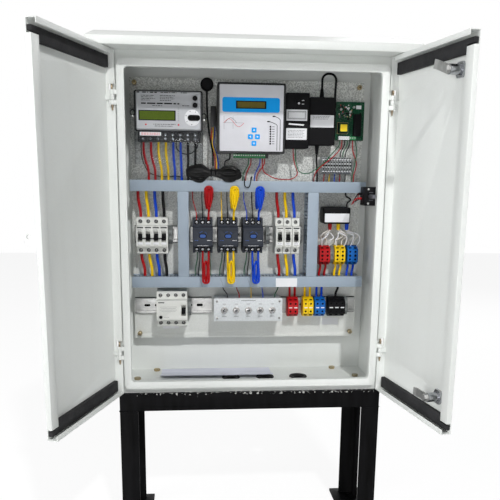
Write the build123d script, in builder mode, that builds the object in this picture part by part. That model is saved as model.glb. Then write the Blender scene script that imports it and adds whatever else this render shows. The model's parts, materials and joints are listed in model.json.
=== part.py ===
"""Street light control cabinet: a wall-type steel cabinet on an angle iron stand.

Millimetres. X runs to the right, Y towards the back, Z up. The origin is on the
ground, at the centre of the four anchor holes of the stand. The doors are modelled
open, as the cabinet stands when it is being worked on.
"""
from build123d import *
from math import cos, radians, sin, tan
import os

os.makedirs("parts", exist_ok=True)

# Stand of equal angle iron
stand_height = 350.0
stand_depth = 198.0
angle_leg = 40.0
angle_wall = 5.0
foot_size = 80.0
foot_thick = 6.0
anchor_radius = 6.0

# Cabinet body, folded from sheet
body_width = 584.0
body_height = 716.5
body_set_back = 9.0
body_sheet = 1.6
body_corner = 3.0
frame_side = 28.0
frame_top = 32.5
opening_rise = 28.0
lip_width = 15.0
lip_depth = 13.0
lip_corner = 12.0
opening_corner = 8.0
gland_radius = 18.5
gland_places = (-40.0, 42.0, 122.0)
gland_setback = 103.0
grommet_wall = 3.5
grommet_rim = 3.0
grommet_lip = 2.2

# Rain canopy
canopy_side = 41.0
canopy_front = 57.0
canopy_back = 24.0
canopy_fascia = 16.2
canopy_ridge = 50.4
canopy_sheet = 1.5
canopy_ledge = 25.0

# Doors and their hinges
door_sheet = 1.5
door_stand_off = 11.0
door_pan = 20.0
door_gap = 1.0
door_play_top = 1.5
door_play_bottom = 1.0
door_return = 10.0
stile_width = 24.0
stile_depth = 8.5
hinge_set_back = 4.0
hinge_low = 93.5
hinge_high = 92.5
knuckle_wall = 2.5
knuckle_height = 9.0
door_knuckle_height = 10.0
knuckle_gap = 0.5
pin_radius = 2.5
hinge_inset = door_sheet + pin_radius
pin_clearance = 0.05
left_open = 108.4
right_open = 99.5
gasket_width = 24.0
gasket_thick = 9.2
gasket_play = 0.3
lug_above_middle = 7.75
lug_reach = 22.0
lug_length = 29.0
lug_height = 27.0
lug_thick = 3.0
lug_hole = 4.2
lug_hole_out = 14.5

# Cam locks on the right door
lock_from_edge = 49.0
lock_from_opening = 27.0
lock_radius = 9.0
cam_length = 45.0
cam_width = 16.0
cam_thick = 2.5
upper_cam_lean = 19.0

# Mounting plate and what carries it
plate_side = 24.0
plate_top = 30.5
plate_thick = 2.5
plate_rise = 88.0
plate_stand_off = 28.0
stud_inset = 12.0
stud_radius = 3.0

# Mounting rail, top hat section
rail_width = 35.0
rail_height = 7.5
rail_inner = 27.0
rail_sheet = 1.0
rail_slot = 15.0
rail_pitch = 25.0

# Slotted wiring ducts
duct_height = 60.0
duct_width = 22.0
duct_wall = 1.5
duct_finger_pitch = 16.0
duct_slot = 6.0
duct_slot_start = 14.0
lid_wall = 1.2
lid_lip = 8.0
upper_duct_rise = 449.5
lower_duct_rise = 232.5

# Modular breakers
pole_width = 17.6
pole_gap = 0.1
breaker_height = 83.0
breaker_shoulder = 51.0
breaker_nose = 68.0
nose_height = 45.0

# Contactors
contactor_width = 45.0
contactor_height = 79.0
contactor_depth = 80.0
contactor_pitch = 57.0
contactor_middle = -49.0

# Wires
heavy_wire = 6.8
loop_wire = 5.0
medium_wire = 5.4
thin_wire = 2.2
sensor_wire = 3.0
lead_wire = 5.0
wire_gap = 0.3
wire_recess = 6.0
recess_play = 0.6
loop_half = 8.0
loop_reach = -1.0

# Places worked out from the sizes above
half_body = body_width / 2
body_depth = stand_depth - body_set_back
opening_width = body_width - 2 * frame_side
opening_height = body_height - opening_rise - frame_top
plate_width = body_width - 2 * plate_side
plate_height = body_height - plate_rise - plate_top
hinge_rises = (hinge_low, body_height - hinge_high)
knuckle_radius = pin_radius + knuckle_wall
body_back = stand_depth / 2
body_face = body_back - body_depth
lip_front = body_face - lip_depth
body_floor = stand_height
body_top = body_floor + body_height
opening_low = body_floor + opening_rise
opening_high = opening_low + opening_height
lip_half = opening_width / 2 + lip_width
lip_low = opening_low - lip_width
lip_high = opening_high + lip_width
plate_front = body_back - body_sheet - plate_stand_off - plate_thick
plate_low = body_floor + plate_rise
plate_high = plate_low + plate_height
hinge_x = half_body - hinge_inset
hinge_y = lip_front + hinge_set_back
door_face = lip_front - door_stand_off
door_low = body_floor + door_play_bottom
door_high = body_top - door_play_top
upper_duct = body_floor + upper_duct_rise
lower_duct = body_floor + lower_duct_rise
rail_mid = body_floor + 337.5
rail_low = body_floor + 168.0
rail_right = body_floor + 292.0
rail_top = body_floor + 498.0


def finish(part, name):
    """Name a finished piece and write it to its own file."""
    part.label = name
    export_step(part, f"parts/{name}.step")


def block(x0, x1, y0, y1, z0, z1, mode=Mode.ADD):
    """A plain cuboid between two corners."""
    with Locations(((x0 + x1) / 2, (y0 + y1) / 2, (z0 + z1) / 2)):
        Box(x1 - x0, y1 - y0, z1 - z0, mode=mode)


def slab(x, z, width, height, front, depth, corner=0.0, mode=Mode.ADD):
    """A rectangle seen from the front, rounded at its corners and pushed back from its front."""
    with BuildSketch(Plane.XZ.offset(-front)) as outline:
        with Locations((x, z)):
            if corner > 0:
                RectangleRounded(width, height, corner)
            else:
                Rectangle(width, height)
    extrude(outline.sketch, amount=-depth, mode=mode)


def rod(x, z, radius, front, depth, mode=Mode.ADD):
    """A round bar that runs straight back from its front."""
    with BuildSketch(Plane.XZ.offset(-front)) as circle:
        with Locations((x, z)):
            Circle(radius)
    extrude(circle.sketch, amount=-depth, mode=mode)


def hexagon(x, z, across_flats, front, depth, mode=Mode.ADD):
    """A hexagon nut or head seen from the front."""
    with BuildSketch(Plane.XZ.offset(-front)) as outline:
        with Locations((x, z)):
            RegularPolygon(across_flats / 2, 6, major_radius=False)
    extrude(outline.sketch, amount=-depth, mode=mode)


def side_profile(points, x0, x1, mode=Mode.ADD):
    """A section drawn as (depth in front of the plate, height) and drawn out from x0 to x1."""
    with BuildSketch(Plane.YZ.offset(x0)) as section:
        with BuildLine():
            Polyline([(plate_front - depth, z) for depth, z in points], close=True)
        make_face()
    extrude(section.sketch, amount=x1 - x0, mode=mode)


# Stand: four legs, four top rails and four feet, all welded
def angle_section(plane, spread_x, spread_y):
    """Equal angle section with its heel at the plane's origin."""
    with BuildSketch(plane) as section:
        with BuildLine():
            Polyline(
                (0, 0),
                (spread_x * angle_leg, 0),
                (spread_x * angle_leg, spread_y * angle_wall),
                (spread_x * angle_wall, spread_y * angle_wall),
                (spread_x * angle_wall, spread_y * angle_leg),
                (0, spread_y * angle_leg),
                close=True,
            )
        make_face()
    return section.sketch


rail_underside = stand_height - angle_leg
anchor_x = half_body - angle_leg / 2
anchor_y = body_back - angle_leg / 2
bolt_places = [(s * (half_body - 0.8 * angle_leg), body_back - 92.0) for s in (-1, 1)]
bolt_places += [(s * (half_body - 74.0), body_back - angle_leg / 2) for s in (-1, 1)]
bolt_radius = 4.0
bolt_clearance = 0.5

with BuildPart() as stand_frame:
    for side_x in (-1, 1):
        for side_y in (-1, 1):
            heel = (side_x * half_body, side_y * body_back)
            leg = angle_section(Plane(origin=(*heel, foot_thick)), -side_x, -side_y)
            extrude(leg, amount=rail_underside - foot_thick)
    for side_y in (-1, 1):
        across = Plane(
            origin=(-half_body, side_y * body_back, stand_height),
            x_dir=(0, 1, 0),
            z_dir=(1, 0, 0),
        )
        extrude(angle_section(across, -side_y, -1), amount=body_width)
    for side_x in (-1, 1):
        along = Plane(
            origin=(side_x * half_body, -body_back + angle_wall, stand_height),
            x_dir=(1, 0, 0),
            z_dir=(0, 1, 0),
        )
        extrude(angle_section(along, -side_x, 1), amount=stand_depth - 2 * angle_wall)
    for side_x in (-1, 1):
        for side_y in (-1, 1):
            slab(
                side_x * anchor_x,
                foot_thick / 2,
                foot_size,
                foot_thick,
                side_y * anchor_y - foot_size / 2,
                foot_size,
            )
    with Locations((0, 0, foot_thick)):
        with GridLocations(2 * anchor_x, 2 * anchor_y, 2, 2):
            Hole(anchor_radius, depth=foot_thick)
    with Locations(*[(x, y, stand_height) for x, y in bolt_places]):
        Hole(bolt_radius + bolt_clearance, depth=angle_wall)
finish(stand_frame.part, "stand_frame")

# Cabinet body: folded box, front flange, and the hollow gutter lip round the opening
body_middle_z = (body_floor + body_top) / 2
opening_middle_z = (opening_low + opening_high) / 2
with BuildPart() as cabinet_body:
    slab(0, body_middle_z, body_width, body_height, body_face, body_depth, body_corner)
    slab(
        0,
        body_middle_z,
        body_width - 2 * body_sheet,
        body_height - 2 * body_sheet,
        body_face + body_sheet,
        body_depth - 2 * body_sheet,
        body_corner - body_sheet,
        mode=Mode.SUBTRACT,
    )
    slab(0, opening_middle_z, 2 * lip_half, lip_high - lip_low, lip_front, lip_depth + body_sheet, lip_corner)
    # The lip is a channel: hollow behind its front face, between its outer and inner walls
    slab(
        0,
        opening_middle_z,
        2 * (lip_half - body_sheet),
        lip_high - lip_low - 2 * body_sheet,
        lip_front + body_sheet,
        lip_depth,
        lip_corner - body_sheet,
        mode=Mode.SUBTRACT,
    )
    slab(
        0,
        opening_middle_z,
        opening_width + 2 * body_sheet,
        opening_height + 2 * body_sheet,
        lip_front + body_sheet / 2,
        lip_depth + body_sheet / 2,
        opening_corner + body_sheet,
    )
    slab(
        0,
        opening_middle_z,
        opening_width,
        opening_height,
        lip_front - 1,
        lip_depth + 2 + body_sheet,
        opening_corner,
        mode=Mode.SUBTRACT,
    )
    # Fixed knuckles of the four hinges, each carried by a web on the lip's outer wall
    for side in (-1, 1):
        for rise in hinge_rises:
            for level in (-1, 1):
                middle = body_floor + rise + level * (
                    door_knuckle_height / 2 + knuckle_gap + knuckle_height / 2
                )
                inner = side * lip_half
                outer = side * hinge_x
                block(
                    min(inner, outer),
                    max(inner, outer),
                    hinge_y - 3,
                    hinge_y + 3,
                    middle - knuckle_height / 2,
                    middle + knuckle_height / 2,
                )
                with Locations((outer, hinge_y, middle)):
                    Cylinder(knuckle_radius, knuckle_height)
                    Cylinder(pin_radius + pin_clearance, knuckle_height, mode=Mode.SUBTRACT)
    # Cable gland holes and the bolt holes in the floor
    with Locations(*[(x, body_face + gland_setback, body_floor + body_sheet) for x in gland_places]):
        Hole(gland_radius, depth=body_sheet)
    with Locations(*[(x, y, body_floor + body_sheet) for x, y in bolt_places]):
        Hole(bolt_radius + bolt_clearance, depth=body_sheet)
finish(cabinet_body.part, "cabinet_body")

# Rain canopy: low gable roof with a square fascia and a ledge that rests on the body
canopy_y0 = body_face - canopy_front
canopy_y1 = body_back + canopy_back
canopy_mid = (canopy_y0 + canopy_y1) / 2
canopy_half = half_body + canopy_side


def gable(inset, base):
    """Section of the roof, drawn inside its outer faces by the inset."""
    eave = body_top + canopy_fascia - inset * 0.2
    return [
        (canopy_y0 + inset, base),
        (canopy_y0 + inset, eave),
        (canopy_mid, body_top + canopy_ridge - inset),
        (canopy_y1 - inset, eave),
        (canopy_y1 - inset, base),
    ]


with BuildPart() as canopy:
    with BuildSketch(Plane.YZ.offset(-canopy_half)) as roof:
        with BuildLine():
            Polyline(gable(0, body_top), close=True)
        make_face()
    extrude(amount=2 * canopy_half)
    with BuildSketch(Plane.YZ.offset(-canopy_half + canopy_sheet)) as room:
        with BuildLine():
            Polyline(gable(canopy_sheet, body_top + canopy_sheet), close=True)
        make_face()
    extrude(amount=2 * (canopy_half - canopy_sheet), mode=Mode.SUBTRACT)
    block(
        -half_body + canopy_ledge,
        half_body - canopy_ledge,
        body_face + canopy_ledge,
        body_back - canopy_ledge,
        body_top - 1,
        body_top + 2 * canopy_sheet,
        mode=Mode.SUBTRACT,
    )
finish(canopy.part, "canopy")

# Mounting plate on four studs
stud_x = plate_width / 2 - stud_inset
stud_z = (plate_low + stud_inset, plate_high - stud_inset)
plate_mid_z = (plate_low + plate_high) / 2
with BuildPart() as mounting_plate:
    slab(0, plate_mid_z, plate_width, plate_height, plate_front, plate_thick, 4.0)
    for x in (-stud_x, stud_x):
        for z in stud_z:
            rod(x, z, stud_radius + 0.5, plate_front - 1, plate_thick + 2, mode=Mode.SUBTRACT)
finish(mounting_plate.part, "mounting_plate")

# Fixings: plate studs with their spacers and nuts, stand bolts, the earth stud
spacer_radius = 6.0
nut_flats = 10.0
nut_thick = 5.0
with BuildPart() as fixings:
    for x in (-stud_x, stud_x):
        for z in stud_z:
            rod(x, z, spacer_radius, plate_front + plate_thick, plate_stand_off)
            rod(x, z, stud_radius, plate_front - nut_thick - 4, plate_thick + nut_thick + 8)
            hexagon(x, z, nut_flats, plate_front - nut_thick, nut_thick)
    floor_top = body_floor + body_sheet
    for x, y in bolt_places:
        with BuildSketch(Plane.XY.offset(floor_top)) as head:
            with Locations((x, y)):
                RegularPolygon(6.5, 6, major_radius=False)
        extrude(head.sketch, amount=5.3)
        with Locations((x, y, floor_top - 10)):
            Cylinder(bolt_radius, 22)
        with BuildSketch(Plane.XY.offset(stand_height - angle_wall - 6.5)) as nut:
            with Locations((x, y)):
                RegularPolygon(6.5, 6, major_radius=False)
        extrude(nut.sketch, amount=6.5)
finish(fixings.part, "fixings")

# Rubber grommets that line the gland holes
grommet_bore = gland_radius - grommet_wall
rim_radius = gland_radius + grommet_rim
with BuildPart() as grommets:
    for x in gland_places:
        y = body_face + gland_setback
        with BuildSketch(Plane.XZ.offset(-y)) as half_section:
            with BuildLine():
                Polyline(
                    (x + grommet_bore, body_floor - grommet_lip),
                    (x + rim_radius, body_floor - grommet_lip),
                    (x + rim_radius, body_floor),
                    (x + gland_radius - 0.05, body_floor),
                    (x + gland_radius - 0.05, body_floor + body_sheet),
                    (x + rim_radius, body_floor + body_sheet),
                    (x + rim_radius - 1, body_floor + body_sheet + grommet_lip),
                    (x + grommet_bore, body_floor + body_sheet + grommet_lip),
                    close=True,
                )
            make_face()
        revolve(axis=Axis((x, y, 0), (0, 0, 1)))
finish(grommets.part, "grommets")

# Mounting rails
rails = [
    (-263.0, -164.0, rail_mid),
    (-134.0, 131.0, rail_mid),
    (-266.0, -84.0, rail_low),
    (84.0, 265.0, rail_low),
    (163.0, 265.0, rail_right),
    (160.0, 262.0, rail_top),
]
with BuildPart() as din_rails:
    for x0, x1, z in rails:
        half = rail_width / 2
        neck = rail_inner / 2
        side_profile(
            [
                (0, z - neck),
                (rail_height - rail_sheet, z - neck),
                (rail_height - rail_sheet, z - half),
                (rail_height, z - half),
                (rail_height, z - neck + rail_sheet),
                (rail_sheet, z - neck + rail_sheet),
                (rail_sheet, z + neck - rail_sheet),
                (rail_height, z + neck - rail_sheet),
                (rail_height, z + half),
                (rail_height - rail_sheet, z + half),
                (rail_height - rail_sheet, z + neck),
                (0, z + neck),
            ],
            x0,
            x1,
        )
        count = int((x1 - x0 - rail_slot) // rail_pitch)
        for i in range(count):
            x = (x0 + x1) / 2 + (i - (count - 1) / 2) * rail_pitch
            slab(x, z, rail_slot, 6.2, plate_front - rail_sheet - 1, rail_sheet + 2, mode=Mode.SUBTRACT)
finish(din_rails.part, "din_rails")

# Slotted wiring ducts and their lids
duct_x0 = -plate_width / 2 + 1
duct_x1 = plate_width / 2 - 1
upright_low = lower_duct + duct_width / 2 + 1.5
upright_high = upper_duct - duct_width / 2 - 1.5
upright_places = (-149.5, 146.5)


def duct_channel(along_x, middle, start, end):
    """U channel on the plate whose side walls are slotted into fingers."""
    mid = (start + end) / 2
    length = end - start
    if along_x:
        slab(mid, middle, length, duct_width, plate_front - duct_height + lid_wall, duct_height - lid_wall)
        slab(
            mid,
            middle,
            length + 2,
            duct_width - 2 * duct_wall,
            plate_front - duct_height,
            duct_height - duct_wall,
            mode=Mode.SUBTRACT,
        )
    else:
        slab(middle, mid, duct_width, length, plate_front - duct_height + lid_wall, duct_height - lid_wall)
        slab(
            middle,
            mid,
            duct_width - 2 * duct_wall,
            length + 2,
            plate_front - duct_height,
            duct_height - duct_wall,
            mode=Mode.SUBTRACT,
        )
    count = int((length - 8) // duct_finger_pitch)
    depth = duct_height - duct_slot_start
    places = [mid + (i - (count - 1) / 2) * duct_finger_pitch for i in range(count)]
    front = plate_front - duct_height
    with BuildSketch(Plane.XZ.offset(-front)) as slots:
        for place in places:
            centre = (place, middle) if along_x else (middle, place)
            size = (duct_slot, duct_width + 2) if along_x else (duct_width + 2, duct_slot)
            with Locations(centre):
                Rectangle(*size)
    extrude(slots.sketch, amount=-depth, mode=Mode.SUBTRACT)


def duct_lid(along_x, middle, start, end):
    """Cap with a short lip down each side, outside the duct's walls."""
    mid = (start + end) / 2
    length = end - start
    outer = duct_width + 2 * lid_wall + 0.2
    inner = duct_width + 0.2
    size = (length, outer) if along_x else (outer, length)
    room = (length + 2, inner) if along_x else (inner, length + 2)
    centre = (mid, middle) if along_x else (middle, mid)
    slab(*centre, *size, plate_front - duct_height, lid_lip)
    slab(*centre, *room, plate_front - duct_height + lid_wall, lid_lip, mode=Mode.SUBTRACT)


duct_runs = [(True, upper_duct, duct_x0, duct_x1), (True, lower_duct, duct_x0, duct_x1)]
duct_runs += [(False, x, upright_low, upright_high) for x in upright_places]
with BuildPart() as duct_bases:
    for run in duct_runs:
        duct_channel(*run)
finish(duct_bases.part, "duct_bases")

with BuildPart() as duct_lids:
    for run in duct_runs:
        duct_lid(*run)
finish(duct_lids.part, "duct_lids")


# Modular breakers: one stepped moulding per pole, with the lever in a slot in its nose
def breaker_section(z):
    """Side view of a breaker: clip recess at the back, shoulders, and the raised nose."""
    half = breaker_height / 2
    nose = nose_height / 2
    recess = rail_width / 2 + 1
    return [
        (3, z - half),
        (3, z - recess),
        (rail_height + 0.1, z - recess),
        (rail_height + 0.1, z + recess),
        (3, z + recess),
        (3, z + half),
        (breaker_shoulder - 3, z + half),
        (breaker_shoulder, z + half - 3),
        (breaker_shoulder, z + nose + 2),
        (breaker_nose, z + nose),
        (breaker_nose, z - nose),
        (breaker_shoulder, z - nose - 2),
        (breaker_shoulder, z - half + 3),
        (breaker_shoulder - 3, z - half),
    ]


lever_axis_depth = 61.0
lever_drum = 5.0
lever_reach = 14.0
lever_thick = 5.0
lever_width = 9.4
lever_tilt = 24.0
lever_slot = 10.2
screw_hole = 3.7
lug_depth = 31.0


def breaker_pole(x, z):
    """One pole, its left side at x."""
    side_profile(breaker_section(z), x + pole_gap / 2, x + pole_width - pole_gap / 2)
    middle = x + pole_width / 2
    slab(
        middle,
        z,
        lever_slot,
        23.0,
        plate_front - breaker_nose - 1,
        breaker_nose + 1 - lever_axis_depth + lever_drum + 0.6,
        mode=Mode.SUBTRACT,
    )
    for end in (-1, 1):
        terminal = z + end * (breaker_height / 2 - 9)
        rod(middle, terminal, screw_hole, plate_front - breaker_shoulder - 1, 7, mode=Mode.SUBTRACT)
        edge = z + end * breaker_height / 2
        room = heavy_wire / 2 + recess_play
        block(
            middle - room,
            middle + room,
            plate_front - lug_depth - room,
            plate_front - lug_depth + room,
            min(edge, edge - end * wire_recess),
            max(edge, edge - end * wire_recess),
            mode=Mode.SUBTRACT,
        )


def lever(x, z, width, tilt=lever_tilt, depth=lever_axis_depth, reach=lever_reach):
    """Switch lever: a drum across the slot with a finger that points out and down."""
    outward = Plane(
        origin=(x - width / 2, plate_front - depth, z),
        x_dir=(0, -cos(radians(tilt)), -sin(radians(tilt))),
        z_dir=(1, 0, 0),
    )
    with BuildSketch(outward) as shape:
        Circle(lever_drum)
        with Locations((reach / 2, 0)):
            Rectangle(reach, lever_thick)
    extrude(shape.sketch, amount=width)


main_x = -254.8
outgoing_x = 61.1
outgoing_pitch = 18.9
with BuildPart() as main_breaker:
    for pole in range(4):
        breaker_pole(main_x + pole * pole_width, rail_mid)
finish(main_breaker.part, "main_breaker")

with BuildPart() as main_toggle:
    for pole in range(4):
        lever(main_x + (pole + 0.5) * pole_width, rail_mid, lever_width)
    # Tie bar that links the four levers, clear in front of the nose
    bar_out = lever_reach - 3.5
    bar_y = plate_front - lever_axis_depth - bar_out * cos(radians(lever_tilt))
    bar_z = rail_mid - bar_out * sin(radians(lever_tilt))
    with Locations((main_x + 2 * pole_width, bar_y, bar_z)):
        Cylinder(1.2, 3 * pole_width + lever_width, rotation=(0, 90, 0))
finish(main_toggle.part, "main_toggle")

with BuildPart() as outgoing_breakers:
    for pole in range(3):
        breaker_pole(outgoing_x + pole * outgoing_pitch, rail_mid)
finish(outgoing_breakers.part, "outgoing_breakers")

for pole in range(3):
    with BuildPart() as breaker_toggle:
        lever(outgoing_x + pole * outgoing_pitch + pole_width / 2, rail_mid, lever_width)
    finish(breaker_toggle.part, f"breaker_toggle_{pole + 1}")

# Residual current breaker on the lower rail: one wide moulding, lever at the right, test button
rccb_x = -212.6
rccb_width = 4 * pole_width
rccb_lever_x = rccb_x + rccb_width - 8.5
test_x = rccb_x + 9.5
test_z = rail_low - 16.0
test_radius = 3.6
with BuildPart() as rccb_housing:
    side_profile(breaker_section(rail_low), rccb_x, rccb_x + rccb_width)
    slab(
        rccb_lever_x,
        rail_low,
        lever_slot,
        25.0,
        plate_front - breaker_nose - 1,
        breaker_nose + 1 - lever_axis_depth + lever_drum + 0.6,
        mode=Mode.SUBTRACT,
    )
    rod(test_x, test_z, test_radius + 0.3, plate_front - breaker_nose - 1, 9, mode=Mode.SUBTRACT)
    for pole in range(4):
        for end in (-1, 1):
            middle = rccb_x + (pole + 0.5) * pole_width
            terminal = rail_low + end * (breaker_height / 2 - 9)
            rod(middle, terminal, screw_hole, plate_front - breaker_shoulder - 1, 7, mode=Mode.SUBTRACT)
finish(rccb_housing.part, "rccb_housing")

with BuildPart() as rccb_toggle:
    lever(rccb_lever_x, rail_low, lever_width)
finish(rccb_toggle.part, "rccb_toggle")

with BuildPart() as rccb_test_button:
    rod(test_x, test_z, test_radius, plate_front - breaker_nose - 2.2, 7.2)
finish(rccb_test_button.part, "rccb_test_button")


# Contactors: raised arc chamber cover between two terminal shoulders
contactor_z = rail_mid + 2.0
contactor_shoulder = 62.0
cover_above = 20.5
cover_below = 24.5
window_width = 12.0
window_height = 7.0


def contactor(x):
    """One three-pole contactor centred on x."""
    half = contactor_height / 2
    recess = rail_width / 2 + 3
    left = x - contactor_width / 2
    right = x + contactor_width / 2
    side_profile(
        [
            (1, contactor_z - half + 4),
            (1, contactor_z - recess),
            (rail_height + 0.1, contactor_z - recess),
            (rail_height + 0.1, contactor_z + recess),
            (1, contactor_z + recess),
            (1, contactor_z + half - 4),
            (14, contactor_z + half),
            (contactor_shoulder, contactor_z + half),
            (contactor_shoulder, contactor_z + cover_above + 2),
            (contactor_depth - 3, contactor_z + cover_above),
            (contactor_depth, contactor_z + cover_above - 3),
            (contactor_depth, contactor_z - cover_below + 3),
            (contactor_depth - 3, contactor_z - cover_below),
            (contactor_shoulder, contactor_z - cover_below - 2),
            (contactor_shoulder, contactor_z - half),
            (14, contactor_z - half),
        ],
        left,
        right,
    )
    slab(
        x,
        contactor_z,
        window_width,
        window_height,
        plate_front - contactor_depth - 1,
        9,
        1.5,
        mode=Mode.SUBTRACT,
    )
    for end in (-1, 1):
        edge = contactor_z + end * half
        inside = edge - end * 9
        for pole in (-1, 0, 1):
            middle = x + pole * 13.5
            block(
                middle - 4.6,
                middle + 4.6,
                plate_front - contactor_shoulder - 1,
                plate_front - contactor_shoulder + 12,
                min(edge, inside),
                max(edge, inside),
                mode=Mode.SUBTRACT,
            )
            rod(middle, inside - end * 2.2, 2.0, plate_front - contactor_shoulder - 1, 4, mode=Mode.SUBTRACT)


contactor_places = [contactor_middle + (i - 1) * contactor_pitch for i in range(3)]
with BuildPart() as contactors:
    for x in contactor_places:
        contactor(x)
finish(contactors.part, "contactors")

for number, x in enumerate(contactor_places, 1):
    with BuildPart() as indicator:
        slab(
            x,
            contactor_z,
            window_width - 1.2,
            window_height - 1.2,
            plate_front - contactor_depth + 0.8,
            3.4,
            0.8,
        )
    finish(indicator.part, f"indicator_{number}")


# Terminal blocks: clamp bodies with two screw wells and a middle bridge
def terminal_block(x, z, width, height, depth):
    """One clamp body, its left side at x."""
    half = height / 2
    side_profile(
        [
            (rail_height + 0.1, z - half + 6),
            (rail_height + 0.1, z + half - 6),
            (16, z + half),
            (depth - 14, z + half),
            (depth, z + half - 9),
            (depth, z - half + 9),
            (depth - 14, z - half),
            (16, z - half),
        ],
        x + 0.05,
        x + width - 0.05,
    )
    for end in (-1, 1):
        hole = min(2.6, width * 0.32)
        rod(x + width / 2, z + end * height * 0.2, hole, plate_front - depth - 1, 4, mode=Mode.SUBTRACT)


block_width = 12.4
block_height = 46.0
block_depth = 45.0
right_blocks = {"red": 168.0, "yellow": 204.2, "blue": 234.2}
low_blocks = {"red": 95.4, "yellow": 132.0, "blue": 160.2}
for colour in ("red", "yellow", "blue"):
    with BuildPart() as terminals:
        for i in range(2):
            for x, z, height in ((right_blocks, rail_right, 45.0), (low_blocks, rail_low, block_height)):
                terminal_block(x[colour] + i * block_width, z, block_width, height, block_depth)
    finish(terminals.part, f"terminals_{colour}")

black_blocks_x = 193.0
black_block_width = 13.4
with BuildPart() as terminals_black:
    for i in range(3):
        x = black_blocks_x + i * black_block_width
        terminal_block(x, rail_low, black_block_width, block_height, block_depth)
finish(terminals_black.part, "terminals_black")

grey_count = 11
grey_width = 6.2
grey_x = 167.0


def end_clamp(x, z, width=9.0):
    """Screwed clamp that keeps what is on a rail from sliding."""
    side_profile(
        [
            (rail_height + 0.1, z - 21),
            (rail_height + 0.1, z + 21),
            (22, z + 21),
            (34, z + 10),
            (34, z - 10),
            (22, z - 21),
        ],
        x,
        x + width,
    )
    rod(x + width / 2, z, 2.6, plate_front - 35, 5, mode=Mode.SUBTRACT)


clamp_gap = 0.3
clamp_places = [
    (main_x + 4 * pole_width + clamp_gap, rail_mid),
    ((contactor_places[2] + contactor_width / 2 + outgoing_x) / 2 - 4.5, rail_mid),
    (outgoing_x + 2 * outgoing_pitch + pole_width + clamp_gap, rail_mid),
    (rccb_x + rccb_width + clamp_gap, rail_low),
    (black_blocks_x + 3 * black_block_width + clamp_gap, rail_low),
    (right_blocks["yellow"] - 9.0 - clamp_gap, rail_right),
]
with BuildPart() as terminals_grey:
    for i in range(grey_count):
        terminal_block(grey_x + i * grey_width, rail_top, grey_width, 38.0, 45.0)
    for x, z in clamp_places:
        end_clamp(x, z)
finish(terminals_grey.part, "terminals_grey")

# Energy meter: case, raised face, terminal housing, two keys, clear terminal cover
meter_x = -179.0
meter_z = body_floor + 609.0
meter_width = 149.0
meter_height = 86.0
meter_case_depth = 60.0
meter_face_depth = 72.0
meter_term_height = 22.0
meter_term_depth = 55.0
meter_term_width = 136.0
meter_bottom = meter_z - meter_height / 2
key_x = -121.5
key_places = {"upper": meter_z + 26.5, "lower": meter_z + 12.0}
key_radius = 5.2
with BuildPart() as meter_case:
    slab(meter_x, meter_z, meter_width, meter_height, plate_front - meter_case_depth, meter_case_depth, 5.0)
    with BuildSketch(Plane.XZ.offset(-(plate_front - meter_case_depth))) as raised:
        with Locations((meter_x, meter_z)):
            RectangleRounded(meter_width - 8, meter_height - 4, 3.0)
    extrude(amount=meter_face_depth - meter_case_depth, taper=12)
    slab(
        meter_x,
        meter_bottom - meter_term_height / 2,
        meter_term_width,
        meter_term_height,
        plate_front - meter_term_depth,
        meter_term_depth,
    )
    for i in range(8):
        x = meter_x - meter_term_width / 2 + 11 + i * 16.3
        for level in (7.0, 15.5):
            rod(x, meter_bottom - level, 2.8, plate_front - meter_term_depth - 1, 4, mode=Mode.SUBTRACT)
    for z in key_places.values():
        rod(key_x, z, key_radius + 0.3, plate_front - meter_face_depth - 1, 6, mode=Mode.SUBTRACT)
finish(meter_case.part, "meter_case")

for level, z in key_places.items():
    with BuildPart() as meter_key:
        rod(key_x, z, key_radius, plate_front - meter_face_depth - 2.4, 5.4)
    finish(meter_key.part, f"meter_key_{level}")

cover_wall = 1.6
cover_height = 70.0
cover_top = meter_bottom - 1.0
cover_depth = 70.0
cover_gap = 0.6
with BuildPart() as meter_cover:
    cover_z = cover_top - cover_height / 2
    slab(meter_x, cover_z, meter_width, cover_height, plate_front - cover_depth, cover_depth, 3.0)
    slab(
        meter_x,
        cover_z - cover_wall,
        meter_width - 2 * cover_wall,
        cover_height + 2 * cover_wall,
        plate_front - cover_depth + cover_wall,
        cover_depth,
        mode=Mode.SUBTRACT,
    )
finish(meter_cover.part, "meter_cover")

# Lighting controller: box, raised face sheet and a row of plug terminals below
control_x = 2.8
control_z = body_floor + 597.0
control_size = 150.0
control_depth = 60.0
module_x = control_x - 82.8
module_z = control_z + 5.5
module_width = 12.0
with BuildPart() as controller:
    slab(control_x, control_z, control_size, control_size, plate_front - control_depth, control_depth, 3.0)
    slab(control_x, control_z, control_size - 9, control_size - 9, plate_front - control_depth - 2, 2.0, 2.0)
    plug_top = control_z - control_size / 2
    for i in range(14):
        x = control_x - 32 + i * 5.2
        block(x, x + 4.9, plate_front - 42, plate_front - 28, plug_top - 10, plug_top)
    slab(module_x, module_z, module_width, 45.0, plate_front - 24, 24.0, 1.5)
finish(controller.part, "controller")

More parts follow.
